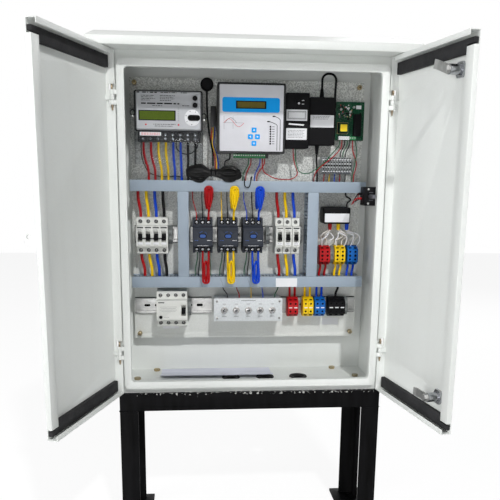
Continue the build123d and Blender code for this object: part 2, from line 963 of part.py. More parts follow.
# Battery box with its toggle switch
battery_x = 107.5
battery_z = body_floor + 595.0
battery_depth = 45.0
switch_z = battery_z + 39.0
bush_radius = 5.6
bush_bore = 3.3
bush_length = 6.0
with BuildPart() as battery_box:
    slab(battery_x, battery_z, 53.0, 120.0, plate_front - battery_depth, battery_depth, 2.0)
    slab(battery_x, battery_z - 5, 48.0, 4.0, plate_front - battery_depth - 1, 3.0, mode=Mode.SUBTRACT)
    rod(battery_x, switch_z, bush_radius, plate_front - battery_depth - bush_length, bush_length + 1)
    rod(
        battery_x,
        switch_z,
        bush_bore,
        plate_front - battery_depth - bush_length - 1,
        bush_length + 5,
        mode=Mode.SUBTRACT,
    )
    hexagon(battery_x, switch_z, 14.6, plate_front - battery_depth - 2.4, 2.4)
    rod(
        battery_x,
        switch_z,
        bush_bore,
        plate_front - battery_depth - bush_length - 1,
        bush_length + 5,
        mode=Mode.SUBTRACT,
    )
finish(battery_box.part, "battery_box")

bat_tilt = 13.0


def bat_lever(x, z, front):
    """Bat-handle switch lever, its ball in the bush and its handle pointing out and down."""
    pivot_y = front - 1.5
    direction = (0, -cos(radians(bat_tilt)), -sin(radians(bat_tilt)))
    with Locations((x, pivot_y, z)):
        Sphere(2.9)
    stem = Plane(origin=(x, pivot_y, z), z_dir=direction)
    with BuildSketch(stem) as root:
        Circle(1.3)
    with BuildSketch(stem.offset(15.0)) as tip:
        Circle(2.3)
    loft(Sketch() + [root.sketch, tip.sketch])


with BuildPart() as battery_lever:
    bat_lever(battery_x, switch_z, plate_front - battery_depth)
finish(battery_lever.part, "battery_lever")

# Switch panel on its own box, five toggle switches
panel_x = -0.3
panel_z = rail_low - 1.0
panel_width = 160.0
panel_height = 54.0
panel_depth = 58.0
panel_pitch = 28.1
panel_switches = [panel_x + (i - 2) * panel_pitch for i in range(5)]
with BuildPart() as switch_panel:
    slab(panel_x, panel_z, panel_width - 4, panel_height - 4, plate_front - panel_depth, panel_depth)
    slab(
        panel_x,
        panel_z,
        panel_width - 8,
        panel_height - 8,
        plate_front - panel_depth + 2,
        panel_depth,
        mode=Mode.SUBTRACT,
    )
    slab(panel_x, panel_z, panel_width, panel_height, plate_front - panel_depth - 2, 2.0, 1.0)
    for x in panel_switches:
        hexagon(x, panel_z - 1, 14.6, plate_front - panel_depth - 4.4, 2.4)
        rod(x, panel_z - 1, bush_radius, plate_front - panel_depth - 2 - bush_length, bush_length + 8)
    for x in panel_switches:
        rod(
            x,
            panel_z - 1,
            bush_bore,
            plate_front - panel_depth - 3 - bush_length,
            bush_length + 8,
            mode=Mode.SUBTRACT,
        )
finish(switch_panel.part, "switch_panel")

for number, x in enumerate(panel_switches, 1):
    with BuildPart() as panel_lever:
        bat_lever(x, panel_z - 1, plate_front - panel_depth - 2)
    finish(panel_lever.part, f"panel_lever_{number}")

# Power supply brick with a tapered strain relief at each end
brick_x = 166.0
brick_z = body_floor + 595.5
brick_width = 60.0
brick_height = 105.0
brick_depth = 35.0
relief_length = 20.0
relief_y = plate_front - 20.0
with BuildPart() as power_supply:
    slab(brick_x, brick_z, brick_width, brick_height, plate_front - brick_depth, brick_depth, 3.0)
    fillet(power_supply.faces().sort_by(Axis.Y)[0].edges(), 2.0)
    for end in (-1, 1):
        edge = brick_z + end * brick_height / 2
        offset_x = 0.0 if end > 0 else -8.0
        base = Plane(origin=(brick_x + offset_x, relief_y, edge), z_dir=(0, 0, end))
        with BuildSketch(base) as wide:
            Circle(5.0)
        with BuildSketch(base.offset(relief_length)) as narrow:
            Circle(lead_wire / 2 + 0.6)
        loft(Sketch() + [wide.sketch, narrow.sketch])
finish(power_supply.part, "power_supply")

# Relay board on four standoffs
board_x = 233.5
board_z = body_floor + 598.0
board_width = 66.0
board_height = 86.0
board_lift = 14.0
with BuildPart() as relay_board:
    board_front = plate_front - board_lift - 1.6
    slab(board_x, board_z, board_width, board_height, board_front, 1.6, 1.5)
    for side_x in (-1, 1):
        for side_z in (-1, 1):
            x = board_x + side_x * (board_width / 2 - 4)
            z = board_z + side_z * (board_height / 2 - 4)
            rod(x, z, 2.6, plate_front - board_lift, board_lift)
            rod(x, z, 2.8, board_front - 1.8, 1.8)
    slab(board_x - 16.5, board_z - 15.5, 24.0, 24.0, board_front - 3, 3.0, 1.0)
    slab(board_x - 16.5, board_z - 15.5, 19.0, 19.0, board_front - 15, 12.0, 1.0)
    slab(board_x + 16.0, board_z - 9.0, 16.0, 48.0, board_front - 12, 12.0, 0.8)
    slab(board_x - 5.0, board_z - 38.0, 40.0, 8.0, board_front - 10, 10.0)
    slab(board_x - 10.0, board_z + 22.0, 9.0, 5.0, board_front - 4, 4.0)
    slab(board_x - 16.0, board_z + 8.0, 6.0, 6.0, board_front - 5, 5.0)
finish(relay_board.part, "relay_board")

# Antenna puck on the plate
puck_x = -94.0
puck_z = body_floor + 673.0
puck_radius = 14.5
puck_height = 14.0
with BuildPart() as antenna_puck:
    rod(puck_x, puck_z, puck_radius, plate_front - puck_height, puck_height)
    fillet(antenna_puck.faces().sort_by(Axis.Y)[0].edges(), 5.0)
finish(antenna_puck.part, "antenna_puck")

# Current sensor above the right terminals
sensor_x = 205.0
sensor_z = rail_right + 93.0
with BuildPart() as current_sensor:
    slab(sensor_x, sensor_z, 62.0, 38.0, plate_front - 50, 50.0, 4.0)
    fillet(current_sensor.faces().sort_by(Axis.Y)[0].edges(), 2.0)
finish(current_sensor.part, "current_sensor")

# Door limit switch on a bracket from the right side wall
limit_front = lip_front + 20.0
limit_x0 = 241.0
limit_x1 = 277.0
limit_z = body_floor + 432.0
plunger_x = 255.0
plunger_radius = 4.5
plunger_travel = 6.0
wall_inside = half_body - body_sheet
with BuildPart() as limit_switch:
    slab((limit_x0 + limit_x1) / 2, limit_z, limit_x1 - limit_x0, 40.0, limit_front, 34.0, 2.0)
    block(limit_x1, wall_inside, limit_front + 14, limit_front + 17, limit_z - 15, limit_z + 15)
    block(wall_inside - 3, wall_inside, limit_front + 14, limit_front + 44, limit_z - 15, limit_z + 15)
    rod(plunger_x, limit_z, plunger_radius + 0.4, limit_front - 1, 22, mode=Mode.SUBTRACT)
finish(limit_switch.part, "limit_switch")

with BuildPart() as limit_plunger:
    tip_y = door_face + door_sheet + 0.8
    rod(plunger_x, limit_z, plunger_radius, tip_y, limit_front + 12 - tip_y)
    fillet(limit_plunger.faces().sort_by(Axis.Y)[0].edges(), 2.0)
finish(limit_plunger.part, "limit_plunger")

# Folded wiring diagram lying on the floor of the cabinet
paper_floor = body_floor + body_sheet
paper_thick = 1.6
paper_lift = 9.5
paper_back = 92.0
paper_bend = 54.0
paper_front = -2.0
with BuildPart() as wiring_diagram:
    with BuildSketch(Plane.YZ.offset(-206.0)) as fold:
        with BuildLine():
            edges = []
            for level in (paper_floor, paper_floor + paper_thick):
                flat = Line((paper_back, level), (paper_bend, level))
                curl = Spline(
                    flat @ 1,
                    (paper_bend - 23, level + paper_lift * 0.5),
                    (paper_front, level + paper_lift),
                    tangents=((-1, 0), (-1, 0.1)),
                )
                edges.append((flat @ 0, curl @ 1))
            Line(edges[0][0], edges[1][0])
            Line(edges[0][1], edges[1][1])
        make_face()
    extrude(amount=266.0)
finish(wiring_diagram.part, "wiring_diagram")


# Doors, drawn closed and then swung open on their pins
def swing(part, side):
    """Turn a closed door piece about its hinge to where the door stands open."""
    pin = Axis((side * hinge_x, hinge_y, 0), (0, 0, 1))
    return part.rotate(pin, right_open if side > 0 else -left_open)


def span(side, near, far):
    """Left and right edges of a stretch that runs from near to far of the centre line."""
    return (near, far) if side > 0 else (-far, -near)


def door_leaf(side):
    """Folded door pan: sheet, three flanges, returns top and bottom, stile at the free edge."""
    inner = door_face + door_sheet
    tip = door_face + door_pan
    with BuildPart() as leaf:
        block(*span(side, door_gap, half_body), door_face, tip, door_low, door_high)
        block(
            *span(side, 0, half_body - door_sheet),
            inner,
            tip + 1,
            door_low + door_sheet,
            door_high - door_sheet,
            mode=Mode.SUBTRACT,
        )
        for low in (door_low, door_high - door_return):
            block(*span(side, door_gap, half_body - 14), tip - door_sheet, tip, low, low + door_return)
        stile_low = lip_low + 8
        stile_high = lip_high - 8
        block(*span(side, door_gap, door_gap + door_sheet), inner, inner + stile_depth, stile_low, stile_high)
        block(
            *span(side, door_gap, door_gap + stile_width),
            inner + stile_depth - door_sheet,
            inner + stile_depth,
            stile_low,
            stile_high,
        )
        for rise in hinge_rises:
            z = body_floor + rise
            block(
                *span(side, half_body - door_sheet - 1, half_body + 1),
                hinge_y - 8,
                tip + 1,
                z - 15.5,
                z + 26.0,
                mode=Mode.SUBTRACT,
            )
            block(
                *span(side, hinge_x - 2.5, half_body - door_sheet),
                inner,
                hinge_y,
                z - door_knuckle_height / 2,
                z + door_knuckle_height / 2,
            )
            with Locations((side * hinge_x, hinge_y, z)):
                Cylinder(knuckle_radius, door_knuckle_height)
                Cylinder(pin_radius + pin_clearance, door_knuckle_height, mode=Mode.SUBTRACT)
        # Padlock lug, welded inside the free edge and standing out through the front sheet
        lug_z = body_middle_z + lug_above_middle
        if side < 0:
            with BuildSketch(Plane.YZ.offset(-door_gap - lug_thick)) as lug:
                with Locations((door_face - lug_reach + lug_length / 2, lug_z)):
                    RectangleRounded(lug_length, lug_height, 4.0)
                with Locations((door_face - lug_hole_out, lug_z)):
                    Circle(lug_hole, mode=Mode.SUBTRACT)
            extrude(lug.sketch, amount=lug_thick)
        if side > 0:
            for z in lock_heights:
                rod(lock_x, z, lock_radius + 0.2, door_face - 1, door_sheet + 2, mode=Mode.SUBTRACT)
    return leaf.part


lock_x = lock_from_edge
lock_heights = (opening_low + lock_from_opening + 5, opening_high - lock_from_opening)
for side, name in ((-1, "left_door"), (1, "right_door")):
    finish(swing(door_leaf(side), side), name)


def gaskets(side):
    """Foam strips that meet the lip above and below the opening, cut narrower under the stile."""
    front = door_face + door_sheet
    thick = lip_front - gasket_play - front
    middle_high = (opening_high + lip_high) / 2
    middle_low = (opening_low + lip_low) / 2
    with BuildPart() as strips:
        for middle, outward in ((middle_low, -1), (middle_high, 1)):
            block(
                *span(side, door_gap + stile_width + 0.5, hinge_x - 4),
                front,
                front + thick,
                middle - gasket_width / 2,
                middle + gasket_width / 2,
            )
            narrow = sorted((middle + outward * 2.0, middle + outward * gasket_width / 2))
            block(*span(side, door_gap + 1, door_gap + stile_width + 0.5), front, front + thick, *narrow)
    return strips.part


for side, name in ((-1, "left_gaskets"), (1, "right_gaskets")):
    finish(swing(gaskets(side), side), name)

# Hinge pins with a ring head and a tapered tail
pin_top = door_knuckle_height / 2 + knuckle_gap + knuckle_height
with BuildPart() as hinge_pins:
    for side in (-1, 1):
        for rise in hinge_rises:
            x = side * hinge_x
            z = body_floor + rise
            with Locations((x, hinge_y, z)):
                Cylinder(pin_radius, 2 * pin_top + 2)
            with Locations((x, hinge_y, z - pin_top - 1 - 5)):
                Cone(1.2, pin_radius, 10)
            with Locations((x, hinge_y, z + pin_top + 5.6)):
                Cylinder(5.3, 2.6, rotation=(0, 90, 0))
                Cylinder(2.6, 2.6, rotation=(0, 90, 0), mode=Mode.SUBTRACT)
finish(hinge_pins.part, "hinge_pins")

# Cam locks: rim, threaded barrel and nut stay with the door; the cam and its bolt turn
cam_front = body_face + body_sheet + 2.0
with BuildPart() as lock_bodies_closed:
    for z in lock_heights:
        rod(lock_x, z, 13.0, door_face - 3, 3.0)
        rod(lock_x, z, lock_radius, door_face - 0.5, cam_front - 0.3 - door_face + 0.5)
        hexagon(lock_x, z, 27.0, door_face + door_sheet, 5.0)
        slab(lock_x, z, 2.0, 10.0, door_face - 4, 2.5, mode=Mode.SUBTRACT)
finish(swing(lock_bodies_closed.part, 1), "lock_bodies")

for name, z, lean in zip(("lower_cam", "upper_cam"), lock_heights, (0.0, upper_cam_lean)):
    with BuildPart() as cam_closed:
        with BuildSketch(Plane.XZ.offset(-cam_front)) as arm:
            with Locations((lock_x, z)):
                Circle(cam_width / 2)
            with Locations((lock_x + (cam_length - 8) / 2, z)):
                Rectangle(cam_length - 8, cam_width)
        extrude(amount=-cam_thick)
        # The tip is cranked towards the door so that it draws the gasket up to the lip
        with BuildSketch(Plane.XY.offset(z - cam_width / 2)) as tip:
            with BuildLine():
                Polyline(
                    (lock_x + cam_length - 9, cam_front),
                    (lock_x + cam_length, cam_front + 2.5),
                    (lock_x + cam_length, cam_front + 2.5 + cam_thick),
                    (lock_x + cam_length - 9, cam_front + cam_thick),
                    close=True,
                )
            make_face()
        extrude(amount=cam_width)
        hexagon(lock_x, z, 13.0, cam_front + cam_thick, 5.0)
    leaning = cam_closed.part.rotate(Axis((lock_x, 0, z), (0, -1, 0)), lean)
    finish(swing(leaning, 1), name)


# Wires: straight runs joined by arcs as large as the runs allow
def bend_radii(points):
    """Radius at each inner point of a route."""
    radii = []
    for before, here, after in zip(points, points[1:], points[2:]):
        come = Vector(*here) - Vector(*before)
        leave = Vector(*after) - Vector(*here)
        half_turn = radians(come.get_angle(leave)) / 2
        radii.append(0.45 * min(come.length, leave.length) / tan(half_turn))
    return radii


report = {}


def tube(name, points, diameter):
    """Round wire along a route."""
    radii = bend_radii(points)
    with BuildLine() as path:
        FilletPolyline(*points, radius=radii)
    start = Vector(*points[0])
    along = Vector(*points[1]) - start
    with BuildSketch(Plane(origin=start, z_dir=along)) as section:
        Circle(diameter / 2)
    made = sweep(section.sketch, path=path.wire(), mode=Mode.PRIVATE)
    length = path.wire().length
    area = section.sketch.area
    report.setdefault(name, []).append((length, min(radii) / diameter, made.volume / (area * length)))
    return made


def drop(x_top, y_top, z_top, x_low, y_low, z_low):
    """Route of a wire that leaves one end straight down and enters the other end the same way."""
    quarter = 0.28 * (z_top - z_low)
    return [
        (x_top, y_top, z_top),
        (x_top, y_top, z_top - quarter),
        (x_low, y_low, z_low + quarter),
        (x_low, y_low, z_low),
    ]


lug_y = plate_front - lug_depth
duct_y = plate_front - 34.0
block_y = plate_front - 23.5
breaker_top = rail_mid + breaker_height / 2
breaker_low = rail_mid - breaker_height / 2
upper_duct_low = upper_duct - duct_width / 2 - wire_gap
upper_duct_high = upper_duct + duct_width / 2 + wire_gap
lower_duct_high = lower_duct + duct_width / 2 + wire_gap
lower_duct_low = lower_duct - duct_width / 2 - wire_gap
phases = ("red", "yellow", "blue", "black")
routes = {colour: [] for colour in (*phases, "thin")}
seat = wire_recess - wire_gap


def lay(colour, diameter, route):
    """Add one wire to those of its colour."""
    routes[colour].append((diameter, route))


def lead(colour, diameter, points):
    """A wire given by its places as (x, depth in front of the plate, z)."""
    lay(colour, diameter, [(x, plate_front - depth, z) for x, depth, z in points])


# Main breaker: four heavy wires above and four below
for pole, colour in enumerate(phases):
    x = main_x + (pole + 0.5) * pole_width
    lay(colour, heavy_wire, drop(x - 5 + pole, duct_y, upper_duct_low, x, lug_y, breaker_top - seat))
    lay(colour, heavy_wire, drop(x, lug_y, breaker_low + seat, x + 7 - pole, duct_y, lower_duct_high))

# Outgoing breakers
for pole, colour in enumerate(phases[:3]):
    x = outgoing_x + pole * outgoing_pitch + pole_width / 2
    lay(colour, heavy_wire, drop(x - 5, duct_y, upper_duct_low, x, lug_y, breaker_top - seat))
    lay(colour, heavy_wire, drop(x, lug_y, breaker_low + seat, x + 4, duct_y, lower_duct_high))

# Meter: two wires for each phase and for neutral, from its terminals down to the upper duct
meter_wire_top = meter_bottom - meter_term_height - wire_gap
for i in range(8):
    x = meter_x - meter_term_width / 2 + 11 + i * 16.3
    lean = 10.0 - i * 1.6
    lay(
        phases[i // 2],
        medium_wire,
        drop(x, plate_front - 38, meter_wire_top, x + lean, duct_y, upper_duct_high),
    )

# Contactors: above, a tied service loop in front of the duct; below, a loop between two poles
contactor_high = contactor_z + contactor_height / 2
contactor_low = contactor_z - contactor_height / 2
pole_pitch = 13.5
pole_seat = 9 - wire_gap
terminal_depth = contactor_shoulder - 6
loop_depth = duct_height + 22
for x, colour in zip(contactor_places, phases):
    right = x + pole_pitch
    tip = upper_duct + loop_reach
    lead(
        colour,
        loop_wire,
        [
            (right, terminal_depth, contactor_high - pole_seat),
            (right, terminal_depth, contactor_high + 14),
            (right + loop_half, loop_depth, contactor_high + 46),
            (right + loop_half, loop_depth, tip),
            (right - loop_half, loop_depth, tip),
            (right - loop_half, loop_depth, contactor_high + 40),
            (right - loop_half / 2, loop_depth - 18, contactor_high + 20),
            (right - loop_half / 2, 34, contactor_high + 24),
            (right - loop_half / 2, 34, upper_duct_low),
        ],
    )
    tip = lower_duct - loop_reach
    lead(
        colour,
        loop_wire,
        [
            (right, terminal_depth, contactor_low + pole_seat),
            (right, terminal_depth, contactor_low - 14),
            (right, loop_depth, contactor_low - 46),
            (right, loop_depth, tip),
            (x, loop_depth, tip),
            (x, loop_depth, contactor_low - 46),
            (x, terminal_depth, contactor_low - 14),
            (x, terminal_depth, contactor_low + pole_seat),
        ],
    )

# Contactor coils, fed from the ducts, and the green earth wires beside them
coil_y = plate_front - 40
terminal_y = plate_front - terminal_depth
for x, colour, lean in zip(contactor_places, phases, (8.7, 0.5, 6.0)):
    left = x - pole_pitch
    top = contactor_high - pole_seat
    lay(colour, thin_wire, drop(left - lean, duct_y, upper_duct_low, left, terminal_y, top))
    lay("black", thin_wire, drop(x - 1, duct_y, upper_duct_low, x, terminal_y, top))
    lay("black", thin_wire, drop(x - 6, coil_y, contactor_low - wire_gap, x - 9, duct_y, lower_duct_high))
    lay("thin", thin_wire, drop(x + 17, coil_y, contactor_low - wire_gap, x + 19, duct_y, lower_duct_high))
    lay("thin", thin_wire, drop(x - 12, coil_y, contactor_low - wire_gap, x - 17, duct_y, lower_duct_high))

# Right terminals: two wires of each phase down to the lower duct
for colour in phases[:3]:
    for i in range(2):
        x = right_blocks[colour] + (i + 0.5) * block_width
        low = rail_right - 22.5 - wire_gap
        lay(colour, medium_wire, drop(x, block_y, low, x - 5, duct_y, lower_duct_high))

# Lower terminals: wires from the lower duct
low_top = rail_low + block_height / 2 + wire_gap
for colour in phases[:3]:
    for i in range(2):
        x = low_blocks[colour] + (i + 0.5) * block_width
        lay(colour, medium_wire, drop(x - 2, duct_y, lower_duct_low, x, block_y, low_top))
x = black_blocks_x + 1.5 * black_block_width
lay("black", medium_wire, drop(x + 3, duct_y, lower_duct_low, x, block_y, low_top))

# Current sensor: its cable from the duct, and pairs of leads that bow out to the terminals
sensor_low = sensor_z - 19 - wire_gap
sensor_high = sensor_z + 19 + wire_gap
sensor_leads = {"red": (sensor_x - 12.5, -18), "yellow": (sensor_x + 7.5, 22), "blue": (sensor_x + 27.5, 26)}
block_top = rail_right + 22.5 + wire_gap
for colour, (x_from, bow) in sensor_leads.items():
    for side in (-1, 1):
        x_to = right_blocks[colour] + block_width * (1 + side / 2)
        lead(
            "thin",
            sensor_wire,
            [
                (x_from + side * 2.4, 30, sensor_low),
                (x_from + side * 2.4, 30, sensor_low - 15),
                (x_from + bow + side * 3.5, 33 + side * 3, sensor_low - 27),
                (x_to, 23.5, block_top + 12),
                (x_to, 23.5, block_top),
            ],
        )
lead(
    "black",
    sensor_wire + 0.6,
    [
        (sensor_x + 21, 34, upper_duct_low),
        (sensor_x + 21, 34, upper_duct_low - 9),
        (sensor_x + 37, 31, upper_duct_low - 17),
        (sensor_x + 27, 26, sensor_high + 9),
        (sensor_x + 27, 26, sensor_high),
    ],
)

# Switch panel
panel_top = panel_z + panel_height / 2 - 2 + wire_gap
for x, colour, lean in zip(panel_switches, ("black", "red", "yellow", "blue", "thin"), (-10, -6, 0, -2, 8)):
    lay(colour, thin_wire, drop(x + 8 + lean, duct_y, lower_duct_low, x + 8, plate_front - 40, panel_top))

# Controller: leads from its plugs to the duct and the battery box, one into the hank
plug_low = plug_top - 10 - wire_gap
plug_x = [control_x - 29.55 + i * 5.2 for i in range(14)]
for i, colour, end in ((5, "thin", -14.3), (6, "red", -7.0), (10, "blue", 13.0), (12, "red", 18.3)):
    x = plug_x[i]
    lead(
        colour,
        thin_wire,
        [
            (x, 35, plug_low),
            (x, 35, plug_low - 12),
            (end, 34, upper_duct_high + 14),
            (end, 34, upper_duct_high),
        ],
    )
battery_low = battery_z - 60 - wire_gap
lead(
    "red",
    thin_wire,
    [
        (battery_x - 6.5, 30, battery_low),
        (battery_x - 5, 30, battery_low - 24),
        (battery_x + 5, 42, upper_duct_high + 15.5),
        (battery_x - 11, 50, upper_duct_high + 5),
        (battery_x - 49, 50, upper_duct_high + 5.5),
        (plug_x[11] + 1, 45, upper_duct_high + 21),
        (plug_x[11], 36, plug_low - 11),
        (plug_x[11], 35, plug_low),
    ],
)
lead(
    "black",
    thin_wire,
    [
        (-10.65, 34, upper_duct_high),
        (-10.65, 34, upper_duct_high + 9),
        (-13, duct_height + 2, upper_duct_high + 11),
        (-11, duct_height + 4, upper_duct - 1.5),
        (-1, duct_height + 4, upper_duct - 2.5),
        (5, duct_height + 2, upper_duct_high + 11),
        (5, 34, upper_duct_high + 9),
        (5, 34, upper_duct_high),
    ],
)

# Relay board: leads to the battery box, the duct and the grey terminals
board_low = board_z - board_height / 2 + 1 - wire_gap
lead(
    "thin",
    thin_wire,
    [
        (board_x - 22.5, 20, board_low),
        (board_x - 24.5, 24, board_low - 13),
        (board_x - 45.5, 44, board_low - 32),
        (board_x - 67.5, 54, board_low - 56),
        (board_x - 97.5, 52, board_low - 77),
        (battery_x + 6, 48, board_low - 75),
        (battery_x - 1, 36, board_low - 50),
        (battery_x - 0.5, 30, battery_low),
    ],
)
lead(
    "red",
    thin_wire,
    [
        (board_x - 17.5, 20, board_low),
        (board_x - 19.5, 28, board_low - 17),
        (board_x - 43.5, 50, board_low - 40),
        (board_x - 73.5, 60, board_low - 61),
        (board_x - 84.5, 46, board_low - 78),
        (board_x - 83.0, 34, upper_duct_high),
    ],
)
lead(
    "red",
    thin_wire,
    [
        (board_x + 7.5, 20, board_low),
        (board_x + 7.5, 22, board_low - 23),
        (board_x + 17.5, 32, board_low - 53),
        (board_x + 9.5, 34, board_low - 80),
        (board_x + 9.5, 34, upper_duct_high),
    ],
)
lead(
    "thin",
    thin_wire,
    [
        (board_x + 12.8, 20, board_low),
        (board_x + 18.5, 24, board_low - 25),
        (board_x + 9.5, 40, board_low - 55),
        (board_x + 6.0, 34, board_low - 80),
        (board_x + 6.0, 34, upper_duct_high),
    ],
)
for x, colour in ((board_x - 11, "black"), (board_x - 5, "thin"), (board_x + 1, "black")):
    lay(colour, thin_wire, drop(x, board_front - 5, board_low, x - 10, block_y, rail_top + 19 + wire_gap))
for i, colour in enumerate(("red", "yellow", "blue", "red", "black")):
    x = grey_x + (2 * i + 1.5) * grey_width
    lay(colour, thin_wire, drop(x, block_y, rail_top - 19 - wire_gap, x - 3, duct_y, upper_duct_high))

# Limit switch: two leads from its side to the end of the upper duct
for colour, z, out, far in (("red", limit_z - 5, 14, 256.0), ("black", limit_z + 5, 9, 262.0)):
    lay(
        colour,
        thin_wire,
        [
            (limit_x0 - wire_gap, limit_front + 22, z),
            (limit_x0 - out, limit_front + 22, z),
            (limit_x0 - out - 1, limit_front + 48, z - 12),
            (limit_x0 + 7 - out, plate_front - 62, upper_duct_low - 14 - out),
            (far, duct_y, upper_duct_low - 13),
            (far, duct_y, upper_duct_low),
        ],
    )

# Aerial cable with its tied hank, the meter's pulse cable and the power supply's cord
hank_y = plate_front - 51
hank_low = upper_duct + duct_width / 2 + 1.6
antenna_route = [
    (puck_x, plate_front - 6, puck_z - puck_radius - wire_gap),
    (puck_x, plate_front - 6, puck_z - 62),
    (puck_x + 5, plate_front - 12, puck_z - 112),
    (puck_x + 12, hank_y, puck_z - 150),
    (puck_x + 12, hank_y, hank_low + 31.6),
]
lay("black", 4.0, antenna_route)
lead(
    "black",
    3.0,
    [
        (control_x - 45.8, 30, plug_top - wire_gap),
        (control_x - 45.8, 30, plug_top - 13),
        (control_x - 58.8, 51, plug_top - 17),
        (control_x - 58.8, 51, hank_low + 26.5),
    ],
)
for i, colour in enumerate(phases[:3]):
    x = module_x + (i - 1) * 3.2
    low = module_z - 22.5 - wire_gap
    lead(
        colour,
        thin_wire,
        [
            (x, 16, low),
            (x - 1, 16, low - 18),
            (x - 3.3, 20, low - 38),
            (x + 5.2, 34, low - 62),
            (x + 6.2, 51, low - 80),
            (x + 6.2, 51, hank_low + 24.5),
        ],
    )
lead(
    "black",
    thin_wire,
    [
        (meter_x + 14, 30, meter_wire_top),
        (meter_x + 15, 30, meter_wire_top - 14),
        (meter_x + 29, 30, meter_wire_top - 24),
        (meter_x + 46, 30, meter_wire_top - 24),
        (meter_x + 61, 30, meter_wire_top - 12),
        (meter_x + 62, 30, meter_wire_top),
    ],
)
lead(
    "black",
    thin_wire,
    [
        (meter_x - 63, 28, meter_wire_top),
        (meter_x - 63, 26, meter_wire_top - 26),
        (meter_x - 51, 22, upper_duct_high + 17),
        (meter_x - 21, 22, upper_duct_high + 7),
        (meter_x + 17, 22, upper_duct_high + 10),
        (meter_x + 29, 26, upper_duct_high + 7),
        (meter_x + 29, 26, upper_duct_high),
    ],
)
relief_top = brick_z + brick_height / 2 + relief_length + wire_gap
cord_x = brick_x + brick_width / 2 + lead_wire / 2 + 0.4
supply_route = [
    (brick_x, relief_y, relief_top),
    (brick_x, relief_y, relief_top + 32),
    (cord_x, relief_y + 2, relief_top + 32),
    (cord_x, relief_y + 12, relief_top - 12),
    (cord_x, relief_y + 12, relief_top - 56),
]
lay("black", lead_wire, supply_route)
relief_low = brick_z - brick_height / 2 - relief_length - wire_gap
lay("black", 4.0, drop(brick_x - 8, relief_y, relief_low, brick_x - 8, duct_y, upper_duct_high))

for colour, wires_of in routes.items():
    name = f"wires_{colour}"
    with BuildPart() as wires:
        for diameter, route in wires_of:
            add(tube(name, route, diameter))
        # The spare cable is folded into a flat hank that rests on the duct, pinched by a tie
        if colour == "black":
            with BuildSketch(Plane.XZ.offset(7 - hank_y)) as hank:
                with BuildLine():
                    Spline(
                        *[
                            (puck_x + along, hank_low + rise)
                            for along, rise in (
                                (-46, 27),
                                (-34, 33),
                                (-1, 25),
                                (24, 21),
                                (49, 29),
                                (72, 21),
                                (76, 8),
                                (60, 0.4),
                                (32, 3),
                                (-1, 10),
                                (-32, 3),
                                (-45, 11),
                            )
                        ],
                        periodic=True,
                    )
                make_face()
            extrude(hank.sketch, amount=-14.0)
    finish(wires.part, name)

for name, rows in report.items():
    print(name, "wires", len(rows), "length", round(sum(r[0] for r in rows), 1), "mm")
    print("   smallest radius in diameters", round(min(r[1] for r in rows), 2))
    shares = [r[2] for r in rows]
    print("   volume against section times length", round(min(shares), 4), round(max(shares), 4))
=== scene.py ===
# %% [markdown]
# # Street light control cabinet
# A steel cabinet with two open doors stands on an angle iron stand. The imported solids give
# every size and place. This lesson gives them their finishes and adds the small things that
# a maker fits by hand: screws, print, ties, weld beads and the fine teeth of the ducts.

# %% Load the solids that everything is fitted to
import json
import math
import random
import bmesh
import bpy
from mathutils import Matrix, Vector

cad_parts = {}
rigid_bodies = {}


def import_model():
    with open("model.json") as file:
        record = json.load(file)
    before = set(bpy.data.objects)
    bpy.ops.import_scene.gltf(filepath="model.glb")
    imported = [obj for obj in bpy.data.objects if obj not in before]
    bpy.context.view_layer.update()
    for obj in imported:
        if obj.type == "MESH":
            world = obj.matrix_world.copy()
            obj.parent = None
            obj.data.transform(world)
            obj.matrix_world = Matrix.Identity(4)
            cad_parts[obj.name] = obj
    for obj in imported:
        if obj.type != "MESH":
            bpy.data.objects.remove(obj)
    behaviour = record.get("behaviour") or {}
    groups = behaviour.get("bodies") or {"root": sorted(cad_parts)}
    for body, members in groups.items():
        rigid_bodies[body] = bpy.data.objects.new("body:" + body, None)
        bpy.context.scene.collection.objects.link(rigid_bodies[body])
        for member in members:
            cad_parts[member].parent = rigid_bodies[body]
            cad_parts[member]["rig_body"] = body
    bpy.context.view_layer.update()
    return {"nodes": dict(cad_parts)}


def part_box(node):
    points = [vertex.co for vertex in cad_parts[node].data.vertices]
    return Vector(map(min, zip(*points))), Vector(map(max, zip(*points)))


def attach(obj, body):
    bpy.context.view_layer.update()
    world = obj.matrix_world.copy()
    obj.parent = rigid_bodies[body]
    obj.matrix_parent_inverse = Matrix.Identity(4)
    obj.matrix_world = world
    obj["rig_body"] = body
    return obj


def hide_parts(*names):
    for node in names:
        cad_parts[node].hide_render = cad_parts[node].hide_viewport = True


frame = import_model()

solids = frame["nodes"]
body_of = {node: solids[node]["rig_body"] for node in solids}
scene = bpy.context.scene

# %% [markdown]
# ## Camera
# The eye is a little left of the middle and below the canopy, level with the devices and
# tipped down by twelve degrees. A lens shift keeps the picture's frame where the photographer
# cropped it, so that upright edges converge as little as they do in the photograph.

